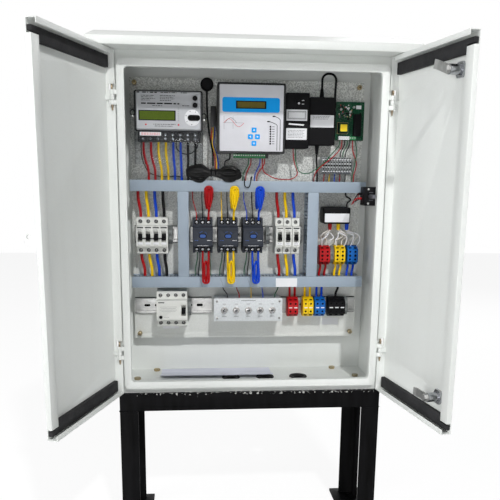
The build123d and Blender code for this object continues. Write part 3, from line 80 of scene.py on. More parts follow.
# %% Camera
eye = Vector((-0.13436, -1.54355, 0.81765))
heading, tip_down, lean = 0.092, -0.208, 0.011
picture = 500.0
focal_pixels = 678.05
middle_pixels = (252.0, 321.4)
forward = Vector((
    math.sin(heading) * math.cos(tip_down),
    math.cos(heading) * math.cos(tip_down),
    math.sin(tip_down),
))
level_right = Vector((math.cos(heading), -math.sin(heading), 0.0))
level_up = level_right.cross(forward)
right = level_right * math.cos(lean) + level_up * math.sin(lean)
up = level_up * math.cos(lean) - level_right * math.sin(lean)
camera_data = bpy.data.cameras.new("camera")
camera_data.sensor_width = 36.0
camera_data.lens = focal_pixels / picture * camera_data.sensor_width
camera_data.shift_x = -(middle_pixels[0] - picture / 2) / picture
camera_data.shift_y = (middle_pixels[1] - picture / 2) / picture
camera = bpy.data.objects.new("camera", camera_data)
scene.collection.objects.link(camera)
camera.matrix_world = Matrix.Translation(eye) @ Matrix((right, up, -forward)).transposed().to_4x4()
scene.camera = camera
print("lens", round(camera_data.lens, 1), "mm")

# %% [markdown]
# ## Shader sums
# A material is a small sum: a mask times a noise, plus a constant. Signal wraps one output of
# a node, so that Python's own operators add the Math nodes, and Paint.node makes any other.

# %% Signal and Paint
class Signal:
    """One output of a node, which can be added, multiplied or compared."""

    def __init__(self, paint, socket):
        self.paint = paint
        self.socket = socket

    def maths(self, operation, *values):
        return self.paint.node("ShaderNodeMath", dict(enumerate(values)), operation=operation)

    def __add__(self, other):
        return self.maths("ADD", self, other)

    def __sub__(self, other):
        return self.maths("SUBTRACT", self, other)

    def __rsub__(self, other):
        return self.maths("SUBTRACT", other, self)

    def __mul__(self, other):
        return self.maths("MULTIPLY", self, other)

    def __gt__(self, other):
        return self.maths("GREATER_THAN", self, other)

    def __lt__(self, other):
        return self.maths("LESS_THAN", self, other)

    __radd__ = __add__
    __rmul__ = __mul__


class Paint:
    """A material, or the world, under construction."""

    def __init__(self, name, world=None):
        self.material = world or bpy.data.materials.new(name)
        self.material.use_nodes = True
        self.tree = self.material.node_tree
        self.tree.nodes.clear()
        self.place = self.node("ShaderNodeTexCoord", output="Object")

    def node(self, kind, sockets=None, output=0, **settings):
        """Add a node: its settings first, then its sockets, each a number or a Signal."""
        made = self.tree.nodes.new(kind)
        for key, value in settings.items():
            setattr(made, key, value)
        for key, value in (sockets or {}).items():
            if isinstance(value, Signal):
                self.tree.links.new(value.socket, made.inputs[key])
            else:
                made.inputs[key].default_value = value
        return Signal(self, made.outputs[output]) if made.outputs else None

    def noise(self, scale, detail=2.0, stretch=None):
        where = self.place
        if stretch:
            where = self.node("ShaderNodeMapping", {"Vector": where, "Scale": stretch})
        return self.node("ShaderNodeTexNoise", {"Vector": where, "Scale": scale, "Detail": detail})

    def cells(self, scale, feature="F1", output="Distance"):
        return self.node(
            "ShaderNodeTexVoronoi", {"Vector": self.place, "Scale": scale}, output, feature=feature
        )

    def along(self, axis):
        return self.node("ShaderNodeSeparateXYZ", {0: self.place}, output=axis)

    def blend(self, mask, low, high):
        colours = {6: low if isinstance(low, Signal) else (*low, 1.0)}
        colours[7] = high if isinstance(high, Signal) else (*high, 1.0)
        return self.node("ShaderNodeMix", {0: mask, **colours}, output=2, data_type="RGBA")

    def spread(self, value, low, high):
        """Stretch a noise's useful middle between 0 and 1."""
        return self.node("ShaderNodeMapRange", {0: value, 1: low, 2: high})

    def done(self, colour, roughness, height=None, depth=0.0001, strength=0.3, **constants):
        sockets = {key.replace("_", " "): value for key, value in constants.items()}
        sockets["Base Color"] = colour if isinstance(colour, Signal) else (*colour, 1.0)
        sockets["Roughness"] = roughness
        if height is not None:
            bump = {"Height": height, "Strength": strength, "Distance": depth}
            sockets["Normal"] = self.node("ShaderNodeBump", bump)
        return self.finished(self.node("ShaderNodeBsdfPrincipled", sockets))

    def finished(self, surface, sink="ShaderNodeOutputMaterial"):
        self.node(sink, {0: surface})
        return self.material


def tint(red, green, blue):
    """A colour as it looks on a screen, 0 to 255, turned into light."""
    return tuple(
        ((c / 255 + 0.055) / 1.055) ** 2.4 if c > 10 else c / 255 / 12.92 for c in (red, green, blue)
    )


def darker(colour, share):
    return tuple(c * share for c in colour)


# %% [markdown]
# ## Sheet metal finishes
# Powder coat is a thick paint that melts in an oven, so it has a fine orange peel and it is
# never perfectly even. The device plate is coarser, and its flecks darken towards its top:
# painted shade of the canopy. The stand is black enamel laid on with a brush over welded
# angle: it chips along the upper edge, where the cabinet was set down.

# %% Powder coat, plate coat and stand enamel
def powder_coat(name, colour, mottle=0.05, peel=0.25, soil=0.05, grain=420.0, painted_upper_shade=None):
    paint = Paint(name)
    cloud = paint.spread(paint.noise(5.0, 3.0), 0.35, 0.7)
    fleck_and_shade = paint.spread(paint.noise(grain, 3.0), 0.38, 0.66)
    # On the plate the flecks grow darker towards the top: painted shade of the canopy.
    if painted_upper_shade:
        fleck_and_shade = fleck_and_shade * paint.spread(paint.along("Z"), *painted_upper_shade) + fleck_and_shade * 0.12
    runs = paint.spread(paint.noise(9.0, 4.0, (3.0, 3.0, 0.35)), 0.5, 0.75)
    flecked_and_shaded = paint.blend(fleck_and_shade * mottle, colour, darker(colour, 0.45))
    dusty = paint.blend(cloud * soil + runs * soil, flecked_and_shaded, (0.42, 0.40, 0.35))
    skin = paint.noise(850.0, 2.0)
    return paint.done(dusty, 0.36 + 0.16 * skin, skin, 0.0004, peel)


cabinet_coat = powder_coat("cabinet_coat", tint(232, 235, 232))
# The plate's strong flecks and their upward darkening are painted shade.
plate_coat = powder_coat("plate_coat", tint(232, 234, 230), 0.85, 0.8, 0.05, 340.0, (0.56, 0.84))


def stand_enamel():
    paint = Paint("stand_enamel")
    height = paint.along("Z")
    chip = paint.noise(160.0, 4.0) > 0.60
    upper_edge = (height > 0.3455) * chip
    scuff = (paint.noise(38.0, 6.0) > 0.74) * 0.5
    brushed = paint.spread(paint.noise(60.0, 3.0, (1.0, 1.0, 0.15)), 0.3, 0.8)
    black = paint.blend(brushed, (0.003, 0.003, 0.003), (0.008, 0.008, 0.009))
    worn = paint.blend(scuff, black, (0.10, 0.095, 0.09))
    colour = paint.blend(upper_edge, worn, (0.55, 0.55, 0.53))
    dent = brushed + upper_edge * -0.6
    return paint.done(colour, 0.30 + 0.25 * brushed, dent, 0.0003, 0.4, Specular_IOR_Level=0.05)


enamel = stand_enamel()

# %% [markdown]
# ## Bare metal
# Zinc plating shows faint crystals, yellow passivation drifts between straw and grey, and
# nickel on toggle switches is bright. All three are metal, so their colour is in the
# reflection and the roughness does the work.

# %% Zinc, passivated steel and nickel
def metal(name, light, dark, rough, crystals=160.0, scratch=0.12):
    paint = Paint(name)
    patch = paint.cells(crystals, output="Color")
    shade = paint.spread(paint.node("ShaderNodeSeparateColor", {0: patch}), 0.1, 0.9)
    drift = paint.spread(paint.noise(45.0, 3.0), 0.35, 0.7)
    lines = paint.noise(30.0, 3.0, (1.0, 1.0, 28.0))
    colour = paint.blend(drift * 0.7 + shade * 0.3, light, dark)
    return paint.done(colour, rough + scratch * lines + 0.05 * shade, lines, 0.00005, 0.2, Metallic=1.0)


zinc = metal("zinc", (0.56, 0.56, 0.55), (0.36, 0.36, 0.355), 0.30)
passivated = metal("passivated", (0.50, 0.38, 0.19), (0.36, 0.32, 0.24), 0.28)
nickel = metal("nickel", (0.50, 0.51, 0.53), (0.30, 0.31, 0.33), 0.16, 60.0, 0.08)
pin_steel = metal("pin_steel", (0.42, 0.33, 0.22), (0.25, 0.20, 0.15), 0.38)

# %% [markdown]
# ## Plastics, rubber and insulation
# Every moulding is one base colour with a spark-eroded grain, so one function makes them all.
# Duct plastic is satin, housings are matt, insulation is smooth and a little glossy.

# %% Mouldings
def moulded(name, colour, rough=0.45, grain=900.0, depth=0.15, variation=0.12, shine=0.5):
    paint = Paint(name)
    texture = paint.noise(grain, 2.0)
    cloud = paint.spread(paint.noise(28.0, 3.0), 0.3, 0.72)
    shade = paint.blend(cloud * variation, colour, darker(colour, 0.55))
    rough_grain = rough + 0.12 * texture
    return paint.done(shade, rough_grain, texture, 0.0002, depth, Specular_IOR_Level=shine)


duct_grey = moulded("duct_grey", tint(158, 172, 186), 0.38, 500.0, 0.1)
breaker_white = moulded("breaker_white", tint(226, 227, 222), 0.42)
soft_black = moulded("soft_black", (0.005, 0.005, 0.006), 0.40, shine=0.10)
black_case = moulded("black_case", (0.004, 0.004, 0.005), 0.48, 650.0, 0.35, shine=0.12)
slate = moulded("slate", tint(52, 56, 65), 0.46, 700.0, 0.3, shine=0.22)
hank_black = moulded("hank_black", (0.003, 0.003, 0.003), 0.16, 300.0, 0.05, shine=0.22)
terminal_red = moulded("terminal_red", tint(190, 14, 22), 0.40, shine=0.3)
terminal_yellow = moulded("terminal_yellow", tint(246, 204, 8), 0.40, shine=0.3)
terminal_blue = moulded("terminal_blue", tint(4, 100, 186), 0.40, shine=0.3)
terminal_black = moulded("terminal_black", (0.005, 0.005, 0.006), 0.42, shine=0.12)
print_white = moulded("print_white", tint(236, 237, 240), 0.35, 300.0, 0.05, 0.05)
print_grey = moulded("print_grey", tint(84, 86, 92), 0.40, 300.0, 0.05)
print_blue = moulded("print_blue", tint(0, 168, 255), 0.32, 300.0, 0.05, 0.04, shine=0.2)
mark_blue = moulded("mark_blue", tint(34, 78, 150), 0.40, 300.0, 0.05)
print_red = moulded("print_red", tint(214, 38, 40), 0.30, 300.0, 0.05)
dark_red = moulded("dark_red", tint(112, 16, 20), 0.45)
# Near black: dark joints and lenses, and painted shade inside holes, slots, pockets and recesses.
dark_and_hole_shade = moulded("dark_and_hole_shade", (0.003, 0.003, 0.003), 0.7, shine=0.1)
wire_red = moulded("wire_red", tint(172, 4, 14), 0.30, 300.0, 0.05, shine=0.25)
wire_yellow = moulded("wire_yellow", tint(248, 206, 0), 0.30, 300.0, 0.05, shine=0.25)
wire_blue = moulded("wire_blue", tint(4, 70, 204), 0.30, 300.0, 0.05, shine=0.25)
wire_black = moulded("wire_black", (0.004, 0.004, 0.005), 0.28, 300.0, 0.05, shine=0.15)
plug_green = moulded("plug_green", tint(40, 130, 74), 0.42)
relay_yellow = moulded("relay_yellow", tint(248, 214, 24), 0.35)
leadless_tan = moulded("leadless_tan", tint(186, 170, 120), 0.4)


def foam_rubber():
    paint = Paint("foam_rubber")
    pores = paint.cells(700.0)
    cloud = paint.spread(paint.noise(40.0, 3.0), 0.3, 0.7)
    colour = paint.blend(cloud * 0.4 + pores * 0.5, tint(62, 62, 63), tint(28, 28, 30))
    return paint.done(colour, 0.93, pores, 0.0005, 0.6, Specular_IOR_Level=0.2)


def moulded_rubber():
    paint = Paint("moulded_rubber")
    bloom = paint.spread(paint.noise(90.0, 4.0), 0.4, 0.75)
    colour = paint.blend(bloom * 0.5, (0.006, 0.006, 0.006), (0.03, 0.03, 0.03))
    return paint.done(colour, 0.55 + 0.2 * bloom, bloom, 0.0002, 0.2, Specular_IOR_Level=0.3)


foam = foam_rubber()
rubber = moulded_rubber()

# %% [markdown]
# ## Finishes with a pattern of their own
# The liquid crystal windows, the clear terminal cover, the circuit board and the folded
# paper each get their own small tree.

# %% Window, clear cover, board and paper
def crystal_window(name, colour, columns):
    paint = Paint(name)
    across = paint.noise(columns, 1.0, (1.0, 1.0, 0.6))
    glow = paint.spread(paint.noise(14.0, 2.0), 0.3, 0.7)
    faint = paint.blend(paint.spread(across, 0.45, 0.6) * 0.25, colour, darker(colour, 0.6))
    return paint.done(paint.blend(glow * 0.3, faint, darker(colour, 0.7)), 0.12, Specular_IOR_Level=0.2)


meter_window = crystal_window("meter_window", tint(82, 102, 18), 420.0)
panel_window = crystal_window("panel_window", tint(108, 96, 22), 380.0)


def clear_moulding():
    paint = Paint("clear_moulding")
    haze = paint.spread(paint.noise(60.0, 4.0), 0.4, 0.8)
    return paint.done((0.93, 0.95, 0.97), 0.02 + 0.05 * haze, Transmission_Weight=1.0, IOR=1.14)


clear = clear_moulding()


def circuit_board():
    paint = Paint("circuit_board")
    edge = paint.cells(230.0, "DISTANCE_TO_EDGE")
    track = paint.spread(edge, 0.06, 0.03)
    pads = paint.cells(420.0) < 0.16
    copper = paint.blend(track, tint(2, 60, 38), tint(8, 88, 54))
    colour = paint.blend(pads, copper, (0.30, 0.34, 0.28))
    return paint.done(colour, 0.30, track, 0.0001, 0.3, Specular_IOR_Level=0.2)


board_green = circuit_board()


def folded_paper():
    paint = Paint("folded_paper")
    fibre = paint.noise(600.0, 4.0)
    crease = paint.noise(11.0, 4.0, (1.0, 3.0, 1.0))
    tone = paint.blend(paint.spread(crease, 0.4, 0.7) * 0.35, tint(226, 228, 240), tint(196, 200, 218))
    return paint.done(tone, 0.82, crease * 4.0 + fibre * 0.2, 0.001, 0.35)


paper = folded_paper()


def two_tone(name, body_colour, face_colour, front, rough=0.42):
    """A housing whose raised front, before the given depth, has another colour."""
    paint = Paint(name)
    texture = paint.noise(700.0, 2.0)
    cloud = paint.spread(paint.noise(24.0, 3.0), 0.3, 0.72)
    is_face = paint.along("Y") < front
    shade = paint.blend(is_face, body_colour, face_colour)
    clouded = paint.blend(cloud * 0.12, shade, (0.25, 0.25, 0.26))
    return paint.done(clouded, rough + 0.1 * texture, texture, 0.0002, 0.15, Specular_IOR_Level=0.35)


def grey_blocks():
    """Grey terminal blocks above, and darker, half clear end clamps on the other rails."""
    paint = Paint("grey_blocks")
    texture = paint.noise(700.0, 2.0)
    cloud = paint.spread(paint.noise(60.0, 3.0), 0.3, 0.72)
    is_block = paint.along("Z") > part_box("terminals_grey")[1].z - 0.045
    rows = paint.spread(paint.noise(150.0, 2.0, (2.6, 1.0, 1.0)), 0.42, 0.60)
    block = paint.blend(rows * 0.45, tint(172, 176, 176), tint(92, 96, 98))
    clamp = paint.blend(cloud, tint(150, 154, 152), tint(84, 88, 88))
    return paint.done(paint.blend(is_block, clamp, block), 0.42 + 0.1 * texture, texture, 0.0002, 0.15)


terminal_grey = grey_blocks()


def panel_and_nuts():
    """Pale sheet whose switch nuts and bushes, in front of it, are nickel."""
    paint = Paint("panel_and_nuts")
    is_nut = paint.along("Y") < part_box("mounting_plate")[0].y - 0.0603
    mottle = paint.spread(paint.noise(260.0, 3.0), 0.4, 0.7)
    cloud = paint.spread(paint.noise(90.0, 3.0), 0.35, 0.7)
    sheet = paint.blend(mottle * 0.3, tint(220, 224, 226), tint(168, 172, 176))
    metallic = paint.blend(cloud, (0.50, 0.49, 0.48), (0.26, 0.26, 0.255))
    colour = paint.blend(is_nut, sheet, metallic)
    return paint.done(colour, 0.40 - 0.16 * is_nut, mottle, 0.0001, 0.15, Metallic=is_nut * 1.0)


# %% [markdown]
# ## Rounded edges
# No folded or moulded edge is sharp, and the eye looks for the bright line that a small radius
# catches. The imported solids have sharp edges, so each housing is shown by a copy: its loose
# triangles are merged, flat areas dissolved, and a bevel run along every real edge.

# %% Softened copies
def smooth_by_angle(mesh, degrees=38.0):
    mesh.polygons.foreach_set("use_smooth", [True] * len(mesh.polygons))
    mesh.set_sharp_from_angle(angle=math.radians(degrees))


def placed(name, mesh):
    obj = bpy.data.objects.new(name, mesh)
    scene.collection.objects.link(obj)
    return obj


def baked(obj):
    """Replace a modified object by a plain mesh and drop the modifiers."""
    depsgraph = bpy.context.evaluated_depsgraph_get()
    made = bpy.data.meshes.new_from_object(obj.evaluated_get(depsgraph))
    obj.modifiers.clear()
    obj.data = made
    return obj


merge_distance = 2e-6
flat_angle, edge_angle = math.radians(0.6), math.radians(40.0)


def softened(node, finish, radius):
    """Show a solid by a copy whose sharp edges are rounded."""
    mesh = solids[node].data.copy()
    work = bmesh.new()
    work.from_mesh(mesh)
    bmesh.ops.remove_doubles(work, verts=work.verts, dist=merge_distance)
    bmesh.ops.dissolve_limit(work, angle_limit=flat_angle, verts=work.verts, edges=work.edges)
    work.to_mesh(mesh)
    work.free()
    mesh.materials.clear()
    mesh.materials.append(finish)
    copy = placed(node + "_shell", mesh)
    bevel = copy.modifiers.new("edge", "BEVEL")
    bevel.width = radius
    bevel.segments = 2
    bevel.limit_method = "ANGLE"
    bevel.angle_limit = edge_angle
    bevel.use_clamp_overlap = True
    baked(copy)
    smooth_by_angle(copy.data, 30.0)
    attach(copy, body_of[node])
    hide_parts(node)
    return copy


def refinish(node, finish):
    """Keep a solid as it is and give it a better finish."""
    for holder in solids[node].material_slots:
        holder.material = finish


plain_edges = {
    "cabinet_body": (cabinet_coat, 0.0006),
    "canopy": (cabinet_coat, 0.0010),
    "left_door": (cabinet_coat, 0.0005),
    "right_door": (cabinet_coat, 0.0005),
    "stand_frame": (enamel, 0.0010),
    "mounting_plate": (plate_coat, 0.0004),
    "left_gaskets": (foam, 0.0015),
    "right_gaskets": (foam, 0.0015),
    "duct_lids": (duct_grey, 0.0005),
    "main_breaker": (breaker_white, 0.0005),
    "outgoing_breakers": (breaker_white, 0.0005),
    "rccb_housing": (breaker_white, 0.0005),
    "contactors": (slate, 0.0006),
    "terminals_red": (terminal_red, 0.0005),
    "terminals_yellow": (terminal_yellow, 0.0005),
    "terminals_blue": (terminal_blue, 0.0005),
    "terminals_black": (terminal_black, 0.0005),
    "terminals_grey": (terminal_grey, 0.0004),
    "battery_box": (black_case, 0.0008),
    "current_sensor": (black_case, 0.0008),
    "switch_panel": (panel_and_nuts(), 0.0003),
    "limit_switch": (soft_black, 0.0005),
    "meter_cover": (clear, 0.0004),
    "main_toggle": (soft_black, 0.0004),
    "rccb_toggle": (soft_black, 0.0005),
    "rccb_test_button": (soft_black, 0.0004),
}
for node, (finish, radius) in plain_edges.items():
    copy = softened(node, finish, radius)
for number in (1, 2, 3):
    softened(f"breaker_toggle_{number}", soft_black, 0.0005)
    softened(f"indicator_{number}", print_blue, 0.0004)
meter_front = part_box("meter_case")[0].y
meter_finish = two_tone("meter_two_tone", tint(18, 19, 22), tint(196, 198, 202), meter_front + 0.0115)
softened("meter_case", meter_finish, 0.0008)
controller_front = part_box("controller")[0].y
controller_finish = two_tone(
    "controller_two_tone", (0.005, 0.005, 0.006), tint(226, 226, 232), controller_front + 0.0019, 0.30
)
softened("controller", controller_finish, 0.0007)
print("softened", len(plain_edges) + 8)

# %% Solids that stay as they are, with a better finish
kept_solids = {
    "din_rails": zinc,
    "fixings": passivated,
    "grommets": rubber,
    "hinge_pins": pin_steel,
    "lock_bodies": nickel,
    "upper_cam": zinc,
    "lower_cam": zinc,
    "battery_lever": nickel,
    "antenna_puck": black_case,
    "power_supply": black_case,
    "relay_board": board_green,
    "limit_plunger": print_grey,
    "meter_key_upper": soft_black,
    "meter_key_lower": soft_black,
    "wires_red": wire_red,
    "wires_yellow": wire_yellow,
    "wires_blue": wire_blue,
    "wires_black": wire_black,
}
for node, finish in kept_solids.items():
    refinish(node, finish)
for number in range(1, 6):
    refinish(f"panel_lever_{number}", nickel)
print("refinished", len(kept_solids) + 5)


# %% [markdown]
# ## The thin wires take their colour from where they run
# All thin wires are one solid. The sensor's leads are white and the earth wires green, so a
# box round the sensor's leads picks the colour.

# %% Control wire finish
def control_wire():
    paint = Paint("control_wire")
    x, z = paint.along("X"), paint.along("Z")
    sensor_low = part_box("current_sensor")[0].z
    is_lead = (x > 0.160) * (z < sensor_low + 0.012) * (z > sensor_low - 0.075)
    colour = paint.blend(is_lead, tint(18, 96, 60), tint(226, 222, 216))
    gloss = paint.noise(300.0, 2.0)
    return paint.done(colour, 0.32 + 0.1 * gloss, gloss, 0.0001, 0.05)


refinish("wires_thin", control_wire())


# %% [markdown]
# ## A bench for small parts
# Labels, keys and bezels are slabs with rounded corners and a small chamfer, and screws and
# lenses are turned on a lathe. Bench collects such shapes into one mesh with several finishes.
# It works in millimetres, and turns them into metres when a mesh is done.

# %% Bench
mm = 0.001
least_radius = 0.02


class Bench:
    """Collects closed shapes, in millimetres, into one piece."""

    def __init__(self):
        self.work = bmesh.new()
        self.finishes = []

    def index(self, finish):
        if finish not in self.finishes:
            self.finishes.append(finish)
        return self.finishes.index(finish)

    def rings(self, rows, finish, closed_ends=True):
        """Bridge rings of points, each as long as the next."""
        made = [[self.work.verts.new(p) for p in row] for row in rows]
        count = len(made[0])
        number = self.index(finish)
        for near, far in zip(made, made[1:]):
            for i in range(count):
                j = (i + 1) % count
                self.work.faces.new((near[i], near[j], far[j], far[i])).material_index = number
        if closed_ends:
            self.work.faces.new(tuple(reversed(made[0]))).material_index = number
            self.work.faces.new(tuple(made[-1])).material_index = number

    def slab(self, finish, x, z, width, height, front, depth, corner=0.0, chamfer=0.2):
        """A plate seen from the front, centred on x and z."""
        chamfer = min(chamfer, depth * 0.45, width * 0.2, height * 0.2)

        def outline(inset, y):
            half_w, half_h = width / 2 - inset, height / 2 - inset
            radius = max(corner - inset, least_radius)
            points = []
            for sx, sz, start in ((1, 1, 0), (-1, 1, 90), (-1, -1, 180), (1, -1, 270)):
                steps = 5 if corner > 0 else 2
                for k in range(steps):
                    turn = math.radians(start + 90 * k / (steps - 1))
                    points.append((
                        x + sx * (half_w - radius) + radius * math.cos(turn),
                        y,
                        z + sz * (half_h - radius) + radius * math.sin(turn),
                    ))
            return points

        rows = [outline(chamfer, front), outline(0, front + chamfer), outline(0, front + depth)]
        self.rings(rows, finish)

    def turned(self, finish, centre, profile, sides=20, axis=(0, -1, 0)):
        """A lathe shape: profile is a list of (distance along the axis, radius)."""
        axis = Vector(axis).normalized()
        side = axis.orthogonal().normalized()
        other = axis.cross(side)
        rows = []
        for distance, radius in profile:
            radius = max(radius, least_radius)
            rows.append([
                Vector(centre) + axis * distance
                + (side * math.cos(t) + other * math.sin(t)) * radius
                for t in (2 * math.pi * k / sides for k in range(sides))
            ])
        self.rings(rows, finish)

    def strand(self, finish, points, radius, sides=8, closed=False, flat=1.0):
        """A round or flattened strand along a smooth line through the points."""
        path = smooth_line([Vector(p) for p in points], closed)
        count = len(path)
        rows = []
        normal = None
        for i, here in enumerate(path):
            before = path[i - 1] if i or closed else here
            after = path[(i + 1) % count] if i < count - 1 or closed else here
            along = (after - before).normalized()
            if normal is None:
                normal = along.orthogonal()
            normal = (normal - along * normal.dot(along)).normalized()
            side = along.cross(normal)
            rows.append([
                here + (normal * math.cos(t) * flat + side * math.sin(t)) * radius
                for t in (2 * math.pi * k / sides for k in range(sides))
            ])
        if closed:
            rows.append(rows[0])
        self.rings(rows, finish, closed_ends=not closed)

    def mesh(self, name, angle=None):
        """End the work as one mesh whose faces look outward."""
        bmesh.ops.recalc_face_normals(self.work, faces=self.work.faces)
        bmesh.ops.scale(self.work, vec=(mm, mm, mm), verts=self.work.verts)
        mesh = bpy.data.meshes.new(name)
        self.work.to_mesh(mesh)
        self.work.free()
        for finish in self.finishes:
            mesh.materials.append(finish)
        if angle:
            smooth_by_angle(mesh, angle)
        return mesh

    def piece(self, name, angle=35.0):
        """End the work as a piece that stays with the cabinet."""
        bmesh.ops.remove_doubles(self.work, verts=self.work.verts, dist=1e-4)
        obj = placed(name, self.mesh(name, angle))
        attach(obj, "cabinet")
        print(name, len(obj.data.polygons), "faces")
        return obj


def smooth_line(points, closed=False, steps=6):
    """Catmull-Rom line through the points."""
    count = len(points)
    line = []
    for i in range(count if closed else count - 1):
        if closed:
            a, b, c, d = (points[(i + k) % count] for k in (-1, 0, 1, 2))
        else:
            a, b = points[max(i - 1, 0)], points[i]
            c, d = points[i + 1], points[min(i + 2, count - 1)]
        for k in range(steps):
            t = k / steps
            line.append(
                0.5 * (
                    (2 * b) + (c - a) * t + (2 * a - 5 * b + 4 * c - d) * t ** 2
                    + (3 * b - a - 3 * c + d) * t ** 3
                )
            )
    if not closed:
        line.append(points[-1])
    return line


def corners(node):
    """The lowest and highest corner of a solid's box, in millimetres."""
    return [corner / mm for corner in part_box(node)]


class Front:
    """The front view of a solid: places are shares of its width and height."""

    def __init__(self, node):
        self.low, self.high = corners(node)
        self.y = self.low.y

    def x(self, share):
        return self.low.x + share * (self.high.x - self.low.x)

    def z(self, share):
        return self.low.z + share * (self.high.z - self.low.z)


# %% [markdown]
# ## Screws by the hundred
# Every device is held or wired by cross-head screws. One screw is modelled, and a Geometry
# Nodes tree puts it at each point of a small cloud, so a whole row costs one list of places.
# The tree ends in Realize Instances, because the exported model keeps only real faces.

# %% One cross-head screw
def cross_screw(name, finish):
    """A screw head of one millimetre radius that faces -Y, with a dark cross on its face as painted shade of the
    recess.
    """
    bench = Bench()
    bench.turned(finish, (0, 0, 0), [(-0.9, 0.55), (-0.5, 0.98), (0.0, 1.0), (0.22, 0.88), (0.30, 0.62)], 16)
    # Two dark bars on the head: painted shade of the cross recess.
    for turn in (0.0, math.pi / 2):
        along = Vector((math.cos(turn), 0, math.sin(turn)))
        across = Vector((-math.sin(turn), 0, math.cos(turn)))
        bar = ((0.58, 0.11), (-0.58, 0.11), (-0.58, -0.11), (0.58, -0.11))
        rows = [
            [Vector((0, y, 0)) + along * a + across * b for a, b in bar] for y in (-0.325, -0.29)
        ]
        bench.rings(rows, dark_and_hole_shade)
    return bpy.data.objects.new(name, bench.mesh(name, 50.0))


screw_stamps = {
    "zinc": cross_screw("screw_zinc", zinc),
    "brass": cross_screw("screw_brass", passivated),
    "bright": cross_screw("screw_bright", nickel),
}


# %% Geometry Nodes trees with named inputs
class Grower:
    """A Geometry Nodes tree that ends in real faces with a finish."""

    def __init__(self, name, **inputs):
        self.tree = bpy.data.node_groups.new(name, "GeometryNodeTree")
        for label, kind in inputs.items():
            self.tree.interface.new_socket(label, in_out="INPUT", socket_type="NodeSocket" + kind)
        self.tree.interface.new_socket("Geometry", in_out="OUTPUT", socket_type="NodeSocketGeometry")
        self.given = self.add("NodeGroupInput")

    def add(self, kind, links=None, **settings):
        """Add a node; links gives, for an input, the node and the output that feed it."""
        made = self.tree.nodes.new(kind)
        for key, value in settings.items():
            setattr(made, key, value)
        for key, (source, output) in (links or {}).items():
            self.tree.links.new(source.outputs[output], made.inputs[key])
        return made

    def end(self, last, picked=None):
        solid = self.add("GeometryNodeRealizeInstances", {0: (last, 0)})
        links = {"Geometry": (solid, 0), "Material": (self.given, "Finish")}
        if picked:
            links["Selection"] = (picked, 0)
        finish = self.add("GeometryNodeSetMaterial", links)
        self.add("NodeGroupOutput", {0: (finish, 0)})

    def grow(self, name, mesh, **values):
        """Run the tree on a mesh and keep the result as a plain mesh."""
        obj = placed(name, mesh)
        modifier = obj.modifiers.new("grown", "NODES")
        modifier.node_group = self.tree
        for item in self.tree.interface.items_tree:
            if item.name in values:
                modifier[item.identifier] = values[item.name]
        return baked(obj)


# %% The tree that stamps a part on points
stamping = Grower(
    "stamp_on_points", Geometry="Geometry", Stamp="Object", Size="Float", Turn="Float", Seed="Int", Finish="Material"
)
given = stamping.given
stamp = stamping.add("GeometryNodeObjectInfo", {"Object": (given, "Stamp")})
turn = stamping.add("FunctionNodeRandomValue", {3: (given, "Turn"), "Seed": (given, "Seed")}, data_type="FLOAT")
spin = stamping.add("ShaderNodeCombineXYZ", {"Y": (turn, 1)})
place = stamping.add(
    "GeometryNodeInstanceOnPoints",
    {"Points": (given, "Geometry"), "Instance": (stamp, "Geometry"), "Rotation": (spin, 0), "Scale": (given, "Size")},
)
index = stamping.add("GeometryNodeInputMaterialIndex")
first_finish = stamping.add("FunctionNodeCompare", data_type="INT", operation="EQUAL")
stamping.tree.links.new(index.outputs[0], first_finish.inputs[2])
stamping.end(place, first_finish)


def stamped(name, points, stamp, size, finish, turn=math.pi, seed=3):
    """Stamps at the points, each turned at random up to turn, on the cabinet."""
    mesh = bpy.data.meshes.new(name)
    mesh.from_pydata([tuple(Vector(p) * mm) for p in points], [], [])
    obj = stamping.grow(name, mesh, Stamp=stamp, Size=size, Turn=turn, Seed=seed, Finish=finish)
    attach(obj, "cabinet")
    print(name, len(points), "stamps", len(obj.data.polygons), "faces")
    return obj


# %% Terminal screws of the breakers, contactors and terminal blocks
pole = 17.6
low_end, high_end = 9, 9
octagon = [2 * math.pi * k / 8 for k in range(8)]


def breaker_screws(node, poles, pitch):
    front = Front(node)
    shoulder = front.high.y - 51
    points = []
    for i in range(poles):
        x = front.low.x + pole / 2 + i * pitch
        for z in (front.low.z + low_end, front.high.z - high_end):
            points.append((x, shoulder + 4.6, z))
    return points


breaker_points = breaker_screws("main_breaker", 4, pole)
breaker_points += breaker_screws("outgoing_breakers", 3, 18.9)
breaker_points += breaker_screws("rccb_housing", 4, pole)
breaker_base = corners("mounting_plate")[0].y
breaker_depth, contactor_depth, loop_depth = 51, 62.1, 82
breaker_points = [(x, breaker_base - breaker_depth + 4.6, z) for x, y, z in breaker_points]
stamped("breaker_screws", breaker_points, screw_stamps["zinc"], 2.3, zinc)
bench = Bench()
for x, y, z in breaker_points:
    # Each well is a dark disc behind the screw: painted shade of the terminal hole.
    well = [(0, 3.6), (0.5, 3.6), (0.6, 1.0)]
    bench.turned(dark_and_hole_shade, (x, y + 0.3, z), well, 20)
    rim = [(x + 4.0 * math.cos(t), breaker_base - breaker_depth - 0.1, z + 4.0 * math.sin(t)) for t in octagon]
    bench.strand(print_grey, rim, 0.42, 6, True, 0.6)
bench.piece("breaker_wells")

contactor = Front("contactors")
contactor_middle_z = (contactor.low.z + contactor.high.z) / 2
contactor_pitch = (contactor.high.x - contactor.low.x - 45) / 2
contactor_centres = [contactor.low.x + 22.5 + i * contactor_pitch for i in range(3)]
contactor_points = [
    (x + side * 13.5, breaker_base - breaker_depth - 0.2, z)
    for x in contactor_centres
    for side in (-1, 0, 1)
    for z in (contactor.low.z + 4.6, contactor.high.z - 4.6)
]
stamped("contactor_screws", contactor_points, screw_stamps["zinc"], 3.9, zinc)

